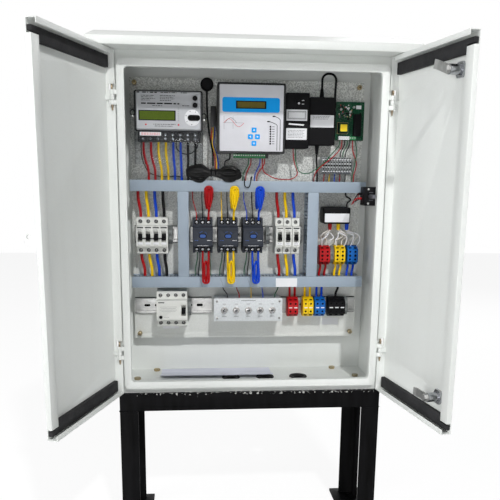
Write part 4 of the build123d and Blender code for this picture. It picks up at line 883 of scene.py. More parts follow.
plate = Front("mounting_plate")
plate_points = [
    (x, plate.y - 9.4, z)
    for x in (plate.low.x + 12, plate.high.x - 12)
    for z in (plate.low.z + 12, plate.high.z - 12)
]
stamped("plate_screws", plate_points, screw_stamps["brass"], 5.2, passivated)

# %% [markdown]
# ## The energy meter
# A dark case with a pale raised face. The crystal window sits in a black bezel, the optical
# port is a white disc with two lenses in a black yoke, and two red lamps blink beside the
# window. Print is left off, apart from thin rules.

# %% Meter face
meter = Front("meter_case")
face_y = meter.y
cover_front = corners("meter_cover")[0].y
cover_top = corners("meter_cover")[1].z
bench = Bench()
window_x, window_z = meter.x(0.336), meter.z(0.505)
bench.slab(soft_black, window_x, window_z, 80, 21.5, face_y - 0.5, 1.2, 1.0)
bench.slab(meter_window, window_x, window_z, 75, 17.5, face_y - 0.7, 0.6, 0.6)
port_x, port_z = meter.x(0.845), meter.z(0.468)
port_ring = [(0, 17), (1.0, 17), (1.4, 16), (1.5, 2)]
bench.turned(print_white, (port_x, face_y + 0.5, port_z), port_ring, 40)
bench.slab(soft_black, port_x + 3.5, port_z, 27, 12.5, face_y - 3.0, 3.2, 6.0, 0.8)
for shift in (-4.0, 3.5, 11.0):
    lens = [(0, 3.4), (0.8, 3.4), (1.1, 2.6)]
    bench.turned(dark_and_hole_shade, (port_x + shift, face_y - 2.9, port_z), lens, 18)
for turn in (60, 110, 160, 215, 265):
    a = math.radians(turn)
    spot = (port_x + 14.2 * math.cos(a), face_y - 0.9, port_z + 14.2 * math.sin(a))
    bench.turned(print_grey, spot, [(0, 1.0), (0.3, 1.0)], 10)
lamp_shape = [(0, 1.9), (1.2, 1.9), (2.0, 1.2), (2.3, 0.2)]
for share in (0.173, 0.645):
    bench.turned(print_red, (meter.x(share), face_y + 0.2, meter.z(0.327)), lamp_shape, 14)


def print_row(x0, x1, z, height, seed, finish=soft_black, y=face_y):
    """A row of short bars of uneven length, which stands for small print."""
    x, k = x0, seed
    while x1 - x > 1e-5:
        k = (k * 37 + 11) % 101
        bar = (0.9 + 0.05 * k) * height / 0.9
        bar = min(bar, x1 - x)
        bench.slab(finish, x + bar / 2, z, bar, height, y - 0.12, 0.4, 0.0, 0.03)
        x += bar + 0.9 * height / 0.9


for start, end, share, height, seed in (
    (0.05, 0.09, 0.945, 2.6, 5), (0.13, 0.21, 0.945, 2.4, 9), (0.24, 0.34, 0.945, 2.4, 17),
    (0.39, 0.62, 0.945, 1.5, 23), (0.68, 0.77, 0.945, 1.5, 41), (0.11, 0.30, 0.885, 1.1, 3),
    (0.11, 0.28, 0.855, 1.1, 7), (0.11, 0.31, 0.825, 1.1, 19), (0.11, 0.24, 0.795, 1.1, 29),
    (0.38, 0.60, 0.885, 1.1, 13), (0.38, 0.57, 0.855, 1.1, 31), (0.38, 0.59, 0.825, 1.1, 47),
    (0.38, 0.54, 0.795, 1.1, 53), (0.11, 0.66, 0.735, 2.8, 61), (0.27, 0.42, 0.69, 1.2, 67),
    (0.28, 0.60, 0.335, 1.1, 71), (0.30, 0.56, 0.300, 1.1, 73), (0.70, 0.80, 0.70, 1.1, 83),
):
    print_row(meter.x(start), meter.x(end), meter.z(share), height, seed)
for share in (0.655, 0.62, 0.585, 0.55, 0.515, 0.48, 0.445, 0.41):
    bench.slab(print_grey, meter.x(0.645), meter.z(share), 2.6, 0.7, face_y - 0.12, 0.4)
tag_z = min(meter.z(0.285), cover_top - 5)
bench.slab(print_white, meter.x(0.235), tag_z, 46, 7.5, cover_front - 0.3, 0.35, 0.8)
for step in (2.0, 0.0, -2.0):
    print_row(meter.x(0.10), meter.x(0.37), tag_z + step, 0.8, 5, print_red, cover_front - 0.3)
for x, z in ((meter.low.x - 3.0, meter.z(0.56)), (meter.high.x + 2.4, meter.z(0.50))):
    for size, lean in ((4.6, 0.0), (3.9, 1.2)):
        loop = [
            (x + size * math.cos(t), face_y + (7 + lean * math.sin(t)), z + 1.5 * size * math.sin(t))
            for t in octagon
        ]
        bench.strand(wire_black, loop, 0.75, 6, True)
    bead = [(0, 1.2), (0.4, 2.0), (1.6, 2.0), (2, 1.2)]
    bench.turned(zinc, (x, face_y + 5.0, z - 8.0), bead, 12)
wall_piece_x, wall_piece_z = -283.5, 968.5
bench.slab(dark_red, wall_piece_x, wall_piece_z, 11, 24, breaker_base - 46, 26, 1.0, 0.6)
bench.slab(soft_black, wall_piece_x, wall_piece_z + 9, 8, 3, breaker_base - 47, 3)
bench.piece("meter_face")

terminal_low = meter.low.z
terminal_points = []
terminal_y = breaker_base - 55
for i in range(8):
    x = (meter.low.x + meter.high.x) / 2 - 57 + i * 16.3
    for level in (22 - 7.0, 22 - 15.5):
        terminal_points.append((x, terminal_y + 1.4, terminal_low + level))
stamped("meter_screws", terminal_points, screw_stamps["bright"], 3.3, nickel)

# %% [markdown]
# ## The lighting controller
# A black box with a printed film on its front: a blue band round the crystal window, four
# blue keys, a column of lamps beside two drawn lamp posts, and a drawn wave. The film's
# printing is geometry a few tenths of a millimetre high, as thick ink and key domes are.

# %% Controller film
box = Front("controller")
film_w = film_h = 141
film_x0 = (box.low.x + box.high.x) / 2 - film_w / 2 + 6.0
film_z1 = box.high.z - 4.5
film_y = box.y


def film(u, v):
    """A place on the film, from its left and its top edge."""
    return film_x0 + u * film_w, film_z1 - v * film_h


bench = Bench()
x, z = film(0.497, 0.30)
bench.slab(print_blue, x, z, 0.90 * film_w, 0.222 * film_h, film_y - 0.25, 0.5, 5.0)
x, z = film(0.497, 0.299)
bench.slab(soft_black, x, z, 0.475 * film_w, 0.118 * film_h, film_y - 0.45, 0.4, 0.6)
bench.slab(panel_window, x, z, 0.43 * film_w, 0.088 * film_h, film_y - 0.6, 0.4, 0.4)
for u, v, turn in ((0.546, 0.677, 90), (0.489, 0.778, 180), (0.600, 0.778, 0), (0.546, 0.880, 270)):
    x, z = film(u, v)
    bench.slab(print_blue, x, z, 11, 10.5, film_y - 0.8, 0.9, 1.6, 0.5)
    arrow = [
        (x + 2.9 * math.cos(math.radians(turn + k)), z + 2.9 * math.sin(math.radians(turn + k)))
        for k in (0, 120, 240)
    ]
    bench.rings([[(a, y, b) for a, b in arrow] for y in (film_y - 0.95, film_y - 0.7)], print_white)
for row in range(8):
    x, z = film(0.805, 0.622 + row * 0.037)
    lamp_dome = [(0, 2.0), (0.5, 2.0), (0.9, 1.3)]
    bench.turned(soft_black, (x, film_y, z), lamp_dome, 12)
    bench.slab(print_grey, x + 6.5, z, 5.5, 1.3, film_y - 0.12, 0.3)
wave = [film(0.075 + 0.31 * k / 12, 0.572 - 0.058 * math.sin(2 * math.pi * k / 12)) for k in range(13)]
bench.strand(print_red, [(x, film_y - 0.1, z) for x, z in wave], 0.5, 6)
hump = [film(0.09 + 0.18 * k / 8, 0.572 - 0.075 * math.sin(math.pi * k / 8)) for k in range(9)]
bench.strand(print_grey, [(x, film_y - 0.1, z) for x, z in hump], 0.4, 6)
for (u0, v0), (u1, v1) in (
    ((0.06, 0.572), (0.37, 0.572)), ((0.075, 0.47), (0.075, 0.67)), ((0.215, 0.48), (0.215, 0.66)),
):
    (xa, za), (xb, zb) = film(u0, v0), film(u1, v1)
    bench.slab(print_grey, (xa + xb) / 2, (za + zb) / 2, abs(xb - xa) + 0.4, abs(zb - za) + 0.4, film_y - 0.12, 0.3)
for mast, tip, top, head in ((0.958, 0.872, 0.475, 0.465), (0.910, 0.788, 0.56, 0.545)):
    line = [film(mast, 0.985), film(mast, top + 0.10), film(mast - 0.012, top + 0.03), film(tip, head)]
    bench.strand(soft_black, [(x, film_y - 0.1, z) for x, z in line], 0.55, 6)
    x, z = film(tip - 0.015, head)
    bench.slab(soft_black, x, z, 6.5, 2.6, film_y - 0.2, 0.4, 1.1)
bench.piece("controller_film")

# %% Plug terminals under the controller, and the small aerial coupler beside it
bench = Bench()
plug_front = breaker_base - 42
plug_x0 = (box.low.x + box.high.x) / 2 - 32
for i in range(14):
    x = plug_x0 + (i * 5.2 + 2.45)
    z = box.low.z + 4.6
    bench.slab(plug_green, x, z, 4.7, 9.0, plug_front - 0.6, 1.2, 0.3)
    bench.turned(zinc, (x, plug_front - 0.5, z + 1.6), [(0, 1.3), (0.4, 1.3), (0.45, 0.3)], 10)
bench.piece("controller_plugs")

# %% [markdown]
# ## Battery box, power supply and relay board
# Both black housings carry a pale label, left bare. The board is a green sheet with a yellow
# transformer in a dark frame, a black relay block, and rows of small parts.

# %% Labels and the board's parts
battery = Front("battery_box")
battery_y = breaker_base - 45
bench = Bench()
label_x = battery.x(0.47)
bench.slab(print_white, label_x, battery.z(0.60), 47, 24, battery_y - 0.3, 0.4, 0.8)
for width, height, lift, finish in (
    (42, 17.5, 0.36, print_grey), (40, 15.5, 0.42, print_white),
    (38, 13.5, 0.48, print_grey), (36.8, 12.3, 0.54, print_white),
):
    bench.slab(finish, label_x, battery.z(0.60), width, height, battery_y - lift, 0.4, 0.8)
strip = [
    (battery.x(u), battery.z(v)) for u, v in ((0.14, 0.455), (0.80, 0.435), (0.76, 0.412), (0.12, 0.428))
]
bench.rings([[(a, y, b) for a, b in strip] for y in (battery_y - 0.5, battery_y + 0.4)], print_white)
bench.slab(print_white, label_x, battery.z(0.26), 47, 25, battery_y - 0.3, 0.4, 0.8)
for k, level in enumerate((0.325, 0.30, 0.275, 0.25, 0.225, 0.20)):
    row_end = label_x + (18 - 3 * (k % 2))
    print_row(label_x - 20, row_end, battery.z(level), 0.8, 11 + 7 * k, print_grey, battery_y - 0.3)
for level in (0.865, 0.80):
    bench.slab(print_white, battery.x(0.72), battery.z(level), 5, 1.4, battery_y - 0.15, 0.3)
bench.piece("battery_labels")

brick = Front("power_supply")
bench = Bench()
bench.slab(print_white, brick.x(0.49), brick.z(0.50), 54, 27, brick.y - 0.25, 0.4, 0.8)
for k, level in enumerate((0.575, 0.555, 0.535)):
    row_end = brick.x(0.80 - 0.05 * k)
    print_row(brick.x(0.13), row_end, brick.z(level), 0.9, 13 + 9 * k, print_grey, brick.y - 0.25)
for end, sign in ((brick.z(0.141), -1), (brick.z(0.859), 1)):
    x = brick.x(0.5) if sign > 0 else brick.x(0.5) - 8
    for k in range(5):
        radius = 5.6 - 0.42 * k
        rib = [(-0.9, radius * 0.9), (-0.6, radius), (0.6, radius), (0.9, radius * 0.9)]
        bench.turned(soft_black, (x, breaker_base - 20, end + sign * (2 + 3.6 * k)), rib, 16, (0, 0, sign))
bench.piece("supply_trim")

board = Front("relay_board")
board_face = breaker_base - 15.6
bench = Bench()


def on_board(u, v, width, height, rise, finish, corner=0.3):
    bench.slab(finish, board.x(u), board.z(v), width, height, board_face - rise, rise, corner)


transformer = (board.x(0.25), board.z(0.5 - 15.5 / 86))
bench.slab(leadless_tan, *transformer, 25.4, 25.4, board_face - 2.2, 2.2, 1.2)
bench.slab(soft_black, *transformer, 23.4, 23.4, board_face - 4.0, 4.0, 1.2)
bench.slab(relay_yellow, *transformer, 15.5, 15.5, board_face - 15.4, 15, 1.0)
bench.slab(black_case, board.x(0.742), board.z(0.395), 16.5, 48.5, board_face - 12.3, 12.2, 0.8)
for k in range(5):
    bench.slab(dark_and_hole_shade, board.x(0.742), board.z(0.18 + 0.108 * k), 14, 0.5, board_face - 12.45, 0.3)
bench.slab(print_white, board.x(0.80), board.z(0.865), 12, 8, board_face - 0.3, 0.3, 0.5)
small_parts = (
    (0.20, 0.86, 3, 5, 2.5, soft_black), (0.32, 0.80, 5, 3, 2, soft_black), (0.45, 0.84, 3, 3, 4, print_white),
    (0.55, 0.78, 2, 4, 2, leadless_tan), (0.38, 0.70, 4, 4, 2, soft_black), (0.50, 0.66, 2, 3, 1.5, print_white),
    (0.22, 0.70, 6, 3, 2, print_grey), (0.60, 0.70, 3, 3, 3, soft_black), (0.28, 0.60, 4, 2, 1.5, leadless_tan),
    (0.44, 0.56, 5, 5, 2, soft_black), (0.14, 0.62, 3, 6, 3, print_grey), (0.86, 0.70, 4, 3, 2, soft_black),
)
for u, v, width, height, rise, finish in small_parts:
    on_board(u, v, width, height, rise, finish)
chance = random.Random(5)
for _ in range(34):
    u, v = chance.uniform(0.08, 0.60), chance.uniform(0.56, 0.92)
    finish = chance.choice((soft_black, soft_black, print_white, print_grey, leadless_tan, print_red, print_white))
    width, height = chance.uniform(1.4, 3.6), chance.uniform(1.4, 3.6)
    on_board(u, v, width, height, chance.uniform(0.9, 2.4), finish)
for k in range(8):
    x = board.x(0.13) + k * 5.1
    bench.slab(print_white if k < 5 else plug_green, x, board.z(0.06), 4.7, 8, board_face - 10.4, 10.3, 0.3)
    bench.turned(zinc, (x, board_face - 10.3, board.z(0.065)), [(0, 1.4), (0.35, 1.4), (0.4, 0.3)], 10)
for u, v in ((0.17, 0.80), (0.50, 0.74), (0.62, 0.86)):
    bench.turned(zinc, (board.x(u), board_face, board.z(v)), [(0, 2.6), (5.5, 2.6), (6, 2.2)], 16)
bench.piece("board_parts")
board_screws = [
    (x, board_face - 0.6, z)
    for x in (board.low.x + 4, board.high.x - 4)
    for z in (board.low.z + 4, board.high.z - 4)
]
stamped("board_screws", board_screws, screw_stamps["zinc"], 2.5, zinc)

# %% [markdown]
# ## Breaker fronts
# Each pole has a black bar above its lever, a grey line of print and a small coloured flag.
# The residual current breaker has the same bar and a wide bare label area.

# %% Bars and flags
bench = Bench()
nose_y = breaker_base - 68


def pole_front(x, z):
    bench.slab(soft_black, x, z + 19.5, 13.8, 2.7, nose_y - 0.2, 0.5, 0.3)
    bench.slab(print_grey, x - 1.5, z + 15.2, 8.0, 0.7, nose_y - 0.12, 0.4)
    bench.slab(print_grey, x - 1.0, z + 13.2, 9.0, 0.5, nose_y - 0.12, 0.4)
    bench.slab(print_white, x, z - 15.8, 12.0, 5.0, nose_y - 0.25, 0.5, 0.4)
    bench.slab(print_grey, x, z - 19.4, 10.0, 0.5, nose_y - 0.12, 0.4)


main = Front("main_breaker")
mid_z = (main.low.z + main.high.z) / 2
for i in range(4):
    pole_front(main.low.x + (i + 0.5) * pole, mid_z)
outgoing = Front("outgoing_breakers")
for i in range(3):
    pole_front(outgoing.low.x + pole / 2 + i * 18.9, mid_z)
rccb = Front("rccb_housing")
low_z = (rccb.low.z + rccb.high.z) / 2
bench.slab(soft_black, rccb.low.x + 11, low_z + 18.0, 14, 2.0, nose_y - 0.2, 0.5, 0.3)
for row in range(4):
    line_z, line_width = low_z + (8.0 - 3.6 * row), 38 - 5 * (row % 2)
    bench.slab(print_grey, rccb.low.x + 27, line_z, line_width, 0.45, nose_y - 0.12, 0.4)
bench.slab(print_grey, rccb.low.x + 23, low_z - 16.0, 12, 0.6, nose_y - 0.12, 0.4)
bench.slab(print_white, rccb.low.x + 30, rccb.low.z - 9.5, 38, 13, breaker_base - 0.4, 0.5, 0.5)
bench.slab(print_white, 207, rccb.low.z - 1.0, 40, 17, breaker_base - 0.4, 0.5, 0.5)
lids, sensor = Front("duct_lids"), Front("current_sensor")
bench.slab(print_white, 88.3, lids.low.z + 10.6, 50, 20, lids.y - 0.4, 0.6, 0.6)
bench.slab(print_white, sensor.x(0.5), sensor.low.z + 14, 58, 20, sensor.y - 0.3, 0.5, 0.8)
lid_y, lid_z = lids.y, lids.low.z + 11
for x in (-110.3, -61.9, 0.6):
    joint = [(x - 3.6, lid_z + 9.5), (x - 3.0, lid_z + 9.5), (x + 3.6, lid_z - 9.5), (x + 3.0, lid_z - 9.5)]
    bench.rings([[(a, y, b) for a, b in joint] for y in (lid_y - 0.05, lid_y + 0.1)], print_grey)
for x in (outgoing.low.x + pole / 2, outgoing.low.x + pole / 2 + 18.9, outgoing.low.x + pole / 2 + 37.8):
    print_row(x - 4, x + 4, mid_z - 15.8, 1.0, 31, print_grey, nose_y - 0.2)
bench.piece("breaker_print")

# %% Contactor fronts: window frame, seams and print
bench = Bench()
cover_y = contactor.y
for centre in contactor_centres:
    bench.slab(soft_black, centre, contactor_middle_z, 17, 10.5, cover_y - 0.25, 0.4, 5.0)
    bench.slab(mark_blue, centre, contactor_middle_z, 13.4, 7.6, cover_y - 0.35, 0.3, 3.6)
    for level in (14.0, -18.0):
        bench.slab(dark_and_hole_shade, centre, contactor_middle_z + level, 41, 0.6, cover_y - 0.05, 0.3)
    for turn in (0, 1):
        arch = [
            (centre + 9.5 * math.cos(t), cover_y - 0.1, contactor_middle_z + (1 + 9 * math.sin(t)))
            for t in (math.pi * (0.12 + 0.06 * k) + turn * 1.25 for k in range(5))
        ]
        bench.strand(mark_blue, arch, 0.6, 6)
    for side in (-1, 1):
        for level in (33.0, -34.0):
            slot_z, slot_y = contactor_middle_z + level, breaker_base - contactor_depth
            bench.slab(dark_and_hole_shade, centre + side * 6.75, slot_z, 0.8, 11, slot_y, 0.3)
    print_row(centre + 9.5, centre + 19, contactor_middle_z - 9.5, 1.2, 21, print_white, cover_y)
    print_row(centre - 18, centre - 9, contactor_middle_z - 9.5, 1.2, 33, mark_blue, cover_y)
    print_row(centre - 12, centre + 12, contactor_middle_z - 21.5, 0.9, 45, print_white, cover_y)
step_y = breaker_base - contactor_depth
step_points = []
for centre in contactor_centres:
    for side in (-1, 0, 1):
        for level in (30.0, -30.5):
            x, z = centre + side * 13.5, contactor_middle_z + level
            # A dark square behind each screw: painted shade of its pocket.
            bench.slab(dark_and_hole_shade, x, z, 10.0, 9.6, step_y - 0.06, 0.3, 2.0)
            step_points.append((x, step_y - 0.5, z - 0.4))
bench.piece("contactor_trim")
stamped("contactor_step_screws", step_points, screw_stamps["bright"], 3.3, nickel)

# %% [markdown]
# ## Terminal blocks
# A block has a screw at each end and a pale marker between them. The holes are in the solids;
# the screws sit deep in them and the markers clip on.

# %% Terminal screws and markers
block_points = []
bench = Bench()
block_front = breaker_base - 45


def hole_shade_dot(x, z, radius, lift=0.1):
    """A flat dark disc of painted shade that stands for the mouth of a deep hole."""
    centre = (x, block_front + 0.3 - lift, z)
    bench.turned(dark_and_hole_shade, centre, [(0, radius), (0.3, radius)], 16)


def block_row(width, count, x0, z, height, barred):
    for i in range(count):
        x = x0 + (i + 0.5) * width
        hole = min(2.6, width * 0.32)
        for end in (-1, 1):
            block_points.append((x, block_front + 3.4, z + end * height * 0.2))
            # Dark discs behind the end screws and dark slabs in the wire openings: painted shade.
            hole_shade_dot(x, z + end * height * 0.2, hole * 0.98, -1.9)
            bench.slab(dark_and_hole_shade, x, z + end * height * 0.385, width * 0.5, 3.6, block_front + 4.6, 1.2)
        if barred:
            bench.slab(print_white, x, z, width * 0.62, 2.4, block_front - 0.5, 0.9, 0.3)
        else:
            hole_shade_dot(x, z, min(2.9, width * 0.36))
        seam = 0.35 if width > 8 else 1.3
        bench.slab(dark_and_hole_shade, x + width / 2, z, seam, height * 0.72, block_front - 0.02, 0.2)


low_row = (corners("terminals_black")[0].z + corners("terminals_black")[1].z) / 2
for node in ("terminals_red", "terminals_yellow", "terminals_blue"):
    low, high = corners(node)
    block_row(12.4, 2, low.x, low_row, 46, True)
    block_row(12.4, 2, high.x - 24.8, high.z - 22.5, 45, False)
low, high = corners("terminals_black")
block_row(13.4, 3, low.x, low_row, 46, True)
grey_high = corners("terminals_grey")[1].z
grey_x = 167
block_row(6.2, 11, grey_x, grey_high - 19, 38, False)
for i in range(11):
    for level in (13.5, -13.5):
        tag_x, tag_z = grey_x + (i + 0.5) * 6.2, grey_high + (level - 19)
        bench.slab(print_white, tag_x, tag_z, 4.4, 2.0, block_front + 1.9, 1.4)
bench.piece("terminal_markers")
stamped("block_screws", block_points, screw_stamps["zinc"], 1.8, zinc)

# %% Switch panel: screws, rings and rules round the five switches
panel = Front("switch_panel")
panel_face = breaker_base - 60
bench = Bench()
panel_middle = (panel.low.x + panel.high.x) / 2
panel_z = panel.z(0.5) - 1
for i in range(5):
    x = panel_middle + (i - 2) * 28.1
    bench.turned(zinc, (x, panel_face, panel_z), [(0, 8.2), (0.5, 8.2), (0.7, 7.9), (0.7, 4)], 28)
    for dz, width in ((14.5, 8), (-14.5, 11)):
        bench.slab(print_grey, x, panel_z + dz, width, 1.0, panel_face - 0.12, 0.3)
bench.slab(print_grey, panel_middle, panel.z(0.90), 34, 1.2, panel_face - 0.12, 0.3)
bench.piece("panel_trim")
panel_points = [
    (x, panel_face - 0.9, z)
    for x in (panel.low.x + 7, panel.high.x - 7)
    for z in (panel.low.z + 7, panel.high.z - 7)
]
stamped("panel_screws", panel_points, screw_stamps["zinc"], 3.0, zinc)

# %% [markdown]
# ## Slotted ducts
# The wall of a wiring duct is a comb: fingers a few millimetres wide with slots between, so
# that a wire can leave at any place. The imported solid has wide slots. Here a Geometry Nodes
# tree repeats one finger along each wall at the real pitch, above a plain channel.

# %% One finger and the comb tree
def finger(name, along_x):
    bench = Bench()
    width, thick = 5.0, 1.4
    size = (width, thick) if along_x else (thick, width)
    bench.slab(duct_grey, 0, 0, *size, -44, 44, 0.0, 0.3)
    return bpy.data.objects.new(name, bench.mesh(name))


comb = Grower("comb", Finger="Object", Count="Int", First="Vector", Step="Vector", Finish="Material")
given = comb.given
line = comb.add(
    "GeometryNodeMeshLine",
    {"Count": (given, "Count"), "Start Location": (given, "First"), "Offset": (given, "Step")},
)
stamp = comb.add("GeometryNodeObjectInfo", {"Object": (given, "Finger")})
comb.end(comb.add("GeometryNodeInstanceOnPoints", {"Points": (line, 0), "Instance": (stamp, "Geometry")}))

# %% Duct channels with their combs, in place of the plain solid
bases_low, bases_high = corners("duct_bases")
duct_w = 22
pitch = 8
finger_foot = breaker_base - 14
upper_z = bases_high.z - duct_w / 2
lower_z = bases_low.z + duct_w / 2
runs = [
    (True, upper_z, bases_low.x, bases_high.x),
    (True, lower_z, bases_low.x, bases_high.x),
    (False, -149.5, lower_z + 12.5, upper_z - 12.5),
    (False, 146.5, lower_z + 12.5, upper_z - 12.5),
]
fingers = {True: finger("finger_x", True), False: finger("finger_z", False)}
parts = []
bench = Bench()
for along_x, middle, start, end in runs:
    count = int((end - start - 6) / pitch)
    first = (start + end) / 2 - (count - 1) / 2 * pitch
    length = end - start
    centre = ((start + end) / 2, middle) if along_x else (middle, (start + end) / 2)
    floor_size = (length, duct_w) if along_x else (duct_w, length)
    bench.slab(duct_grey, *centre, *floor_size, breaker_base - 1.6, 1.6)
    for side in (-1, 1):
        wall = middle + side * (duct_w / 2 - 0.75)
        wall_centre = ((start + end) / 2, wall) if along_x else (wall, (start + end) / 2)
        wall_size = (length, 1.4) if along_x else (1.4, length)
        bench.slab(duct_grey, *wall_centre, *wall_size, finger_foot, 14)
        place = (first, finger_foot, wall) if along_x else (wall, finger_foot, first)
        step = (pitch, 0, 0) if along_x else (0, 0, pitch)
        empty = bpy.data.meshes.new("comb_part")
        parts.append(comb.grow(
            "comb_part", empty, Finger=fingers[along_x], Count=count,
            First=Vector(place) * mm, Step=Vector(step) * mm, Finish=duct_grey,
        ))
for part in parts:
    part.data.transform(Matrix.Scale(1 / mm, 4))
    bench.work.from_mesh(part.data)
    bpy.data.objects.remove(part)
ducts = bench.piece("duct_combs")
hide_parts("duct_bases")

# %% [markdown]
# ## Ties, sleeves and beads
# The spare aerial cable is pinched by ties, the loops at the contactors are tied, and the
# sensor's leads leave through coloured sleeves. The stand's joints are welded, and a weld is
# a row of small overlapping beads, which the stamping tree also makes.

# %% Cable ties and sleeves
bench = Bench()
hank_y = breaker_base - 51
hank_z = upper_z + duct_w / 2 + 1.6
puck = corners("antenna_puck")
puck_x = (puck[0].x + puck[1].x) / 2


def tie(finish, centre, half_w, half_h, tall=2.4):
    """A flat band round a bundle, in a level plane, with its square head in front."""
    x, y, z = centre
    ring = []
    for k in range(16):
        a, b = math.cos(2 * math.pi * k / 16), math.sin(2 * math.pi * k / 16)
        side, front = math.copysign(abs(a) ** 0.55, a), math.copysign(abs(b) ** 0.55, b)
        ring.append((x + half_w * side, y + half_h * front, z))
    bench.strand(finish, ring, tall / 2, 6, True, 0.35)
    bench.slab(finish, x, z, 4.2, 3.4, y - half_h - 2.6, 3.2, 0.4)


for centre, finish in zip(contactor_centres, (dark_red, wire_yellow, wire_blue)):
    for rise in (49, 53.5):
        tie(finish, (centre + 13.5, breaker_base - loop_depth, contactor.high.z + rise), 11.2, 3.3)
sleeve = [(0, 4.8), (9, 4.6), (13, 4.1), (15, 3.6)]
for x, finish in ((192.5, wire_red), (212.5, wire_yellow), (232.5, wire_blue)):
    bench.turned(finish, (x, breaker_base - 30, sensor.low.z + 0.2), sleeve, 16, (0, 0, -1))
switch = Front("limit_switch")
crimp = [(0, 2.2), (0.4, 2.7), (6.0, 2.7), (7.0, 1.8)]
lead_z = (switch.low.z + switch.high.z) / 2
for rise, finish in ((-5, wire_red), (5, soft_black)):
    bench.turned(finish, (switch.low.x - 0.4, switch.low.y + 22, lead_z + rise), crimp, 14, (-1, 0, 0))
for level in (0.3, 0.5, 0.7):
    bench.slab(print_grey, switch.x(0.30), switch.z(level), 9, 1.6, switch.y - 0.2, 0.4)
for level in (0.12, 0.88):
    spot = (switch.x(0.18), switch.y + 0.2, switch.z(level))
    bench.turned(zinc, spot, [(0, 2.2), (0.6, 2.2), (0.9, 1.4)], 14)
bench.piece("ties_and_sleeves")

# %% [markdown]
# ## The hank of spare cable
# The aerial's spare cable is wound into a long loop and tied at its waist, so its turns part at
# both ends like a bow. One tree sweeps a round section along every curve that it is given.

# %% The tree that sweeps a cable along curves
sweeping = Grower("sweep_cable", Geometry="Geometry", Radius="Float", Sides="Int", Finish="Material")
given = sweeping.given
line = sweeping.add("GeometryNodeMeshToCurve", {"Mesh": (given, "Geometry")})
section = sweeping.add(
    "GeometryNodeCurvePrimitiveCircle", {"Resolution": (given, "Sides"), "Radius": (given, "Radius")}
)
sweep = sweeping.add("GeometryNodeCurveToMesh", {"Curve": (line, 0), "Profile Curve": (section, 0)})
sweeping.end(sweeping.add("GeometryNodeSetShadeSmooth", {"Geometry": (sweep, 0)}))


def swept(name, lines, radius, finish, slot):
    """One piece on the cabinet: a closed cable along each line of points."""
    places, edges = [], []
    for line in lines:
        first = len(places)
        places += [tuple(Vector(p) * mm) for p in line]
        edges += [(first + k, first + (k + 1) % len(line)) for k in range(len(line))]
    mesh = bpy.data.meshes.new(name)
    mesh.from_pydata(places, edges, [])
    obj = sweeping.grow(name, mesh, Radius=radius * mm, Sides=8, Finish=finish)
    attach(obj, "cabinet")
    print(name, len(lines), "turns")


# %% Seventeen turns of the hank, tied twice at the waist
chance = random.Random(11)
hank_middle_x, hank_middle_z = puck_x + 13, hank_z + 16.5
turns = []
for k in range(17):
    left, far = (chance.uniform(50, 60) for _ in range(2))
    wide_left, wide_far = (chance.uniform(4.0, 17.5) for _ in range(2))
    lift = chance.uniform(-4.5, 4.5)
    layer = hank_y - 9.4 + (k % 4 - 1.5) * 2.2
    sag = chance.uniform(-2.0, 2.0)
    outline = (
        (-left, sag), (-left * 0.86, wide_left * 0.85), (-left * 0.5, wide_left), (-left * 0.2, 4.2),
        (far * 0.2, 4.2), (far * 0.5, wide_far), (far * 0.86, wide_far * 0.85), (far, -sag),
        (far * 0.86, -wide_far * 0.85), (far * 0.5, -wide_far), (far * 0.2, -4.2),
        (-left * 0.2, -4.2), (-left * 0.5, -wide_left), (-left * 0.86, -wide_left * 0.85),
    )
    points = [
        Vector((
            hank_middle_x + a,
            layer + (1.2 * math.sin(3.1 * i + k) if abs(a) > 20 else 0.0),
            hank_middle_z + b * (0.75 if abs(a) < 15 else 1.0) + lift,
        ))
        for i, (a, b) in enumerate(outline)
    ]
    turns.append(smooth_line(points, True, 4))
swept("hank_turns", turns, 1.45, hank_black, "wire_black")
bench = Bench()
for shift in (-5.0, 4.0):
    band = [
        (hank_middle_x + shift, hank_y - 4 + 10.5 * math.cos(t), hank_middle_z + 9.0 * math.sin(t))
        for t in octagon
    ]
    bench.strand(soft_black, band, 1.5, 6, True, 0.6)
bench.piece("hank_ties")

# %% More strands in the tied loops, and the sensor's leads
loop_y = breaker_base - loop_depth
upper_tip, lower_tip = upper_z - 1, lower_z + 1
colours = (("red", wire_red), ("yellow", wire_yellow), ("blue", wire_blue))
for centre, (label, finish) in zip(contactor_centres, colours):
    right, foot = centre + 13.5, contactor.high.z
    strands = []
    for half, ahead, top, start in ((2.6, 0.0, 6, 26), (4.8, 4.2, 3, 20), (1.6, 4.6, 12, 30)):
        outline = (
            (0, start), (half, start + 16), (half * 1.15, 46), (half, 60), (0.0, None),
            (-half, 60), (-half * 1.15, 46), (-half, start + 16),
        )
        strands.append(smooth_line([
            Vector((right + a, loop_y - ahead, upper_tip - top if b is None else foot + b))
            for a, b in outline
        ], True, 5))
    head = contactor.low.z
    middle_x = centre + 6.75
    for half, ahead, top in ((2.4, 0.0, 7), (4.2, 4.0, 4)):
        outline = (
            (0, -16), (half, -26), (half, -40), (half * 0.9, -50),
            (0, None), (-half * 0.9, -50), (-half, -40), (-half, -26),
        )
        strands.append(smooth_line([
            Vector((middle_x + a, loop_y - ahead, lower_tip + top if b is None else head + b))
            for a, b in outline
        ], True, 5))
    swept("loop_strands_" + label, strands, 1.9, finish, "wire_" + label)
bench = Bench()
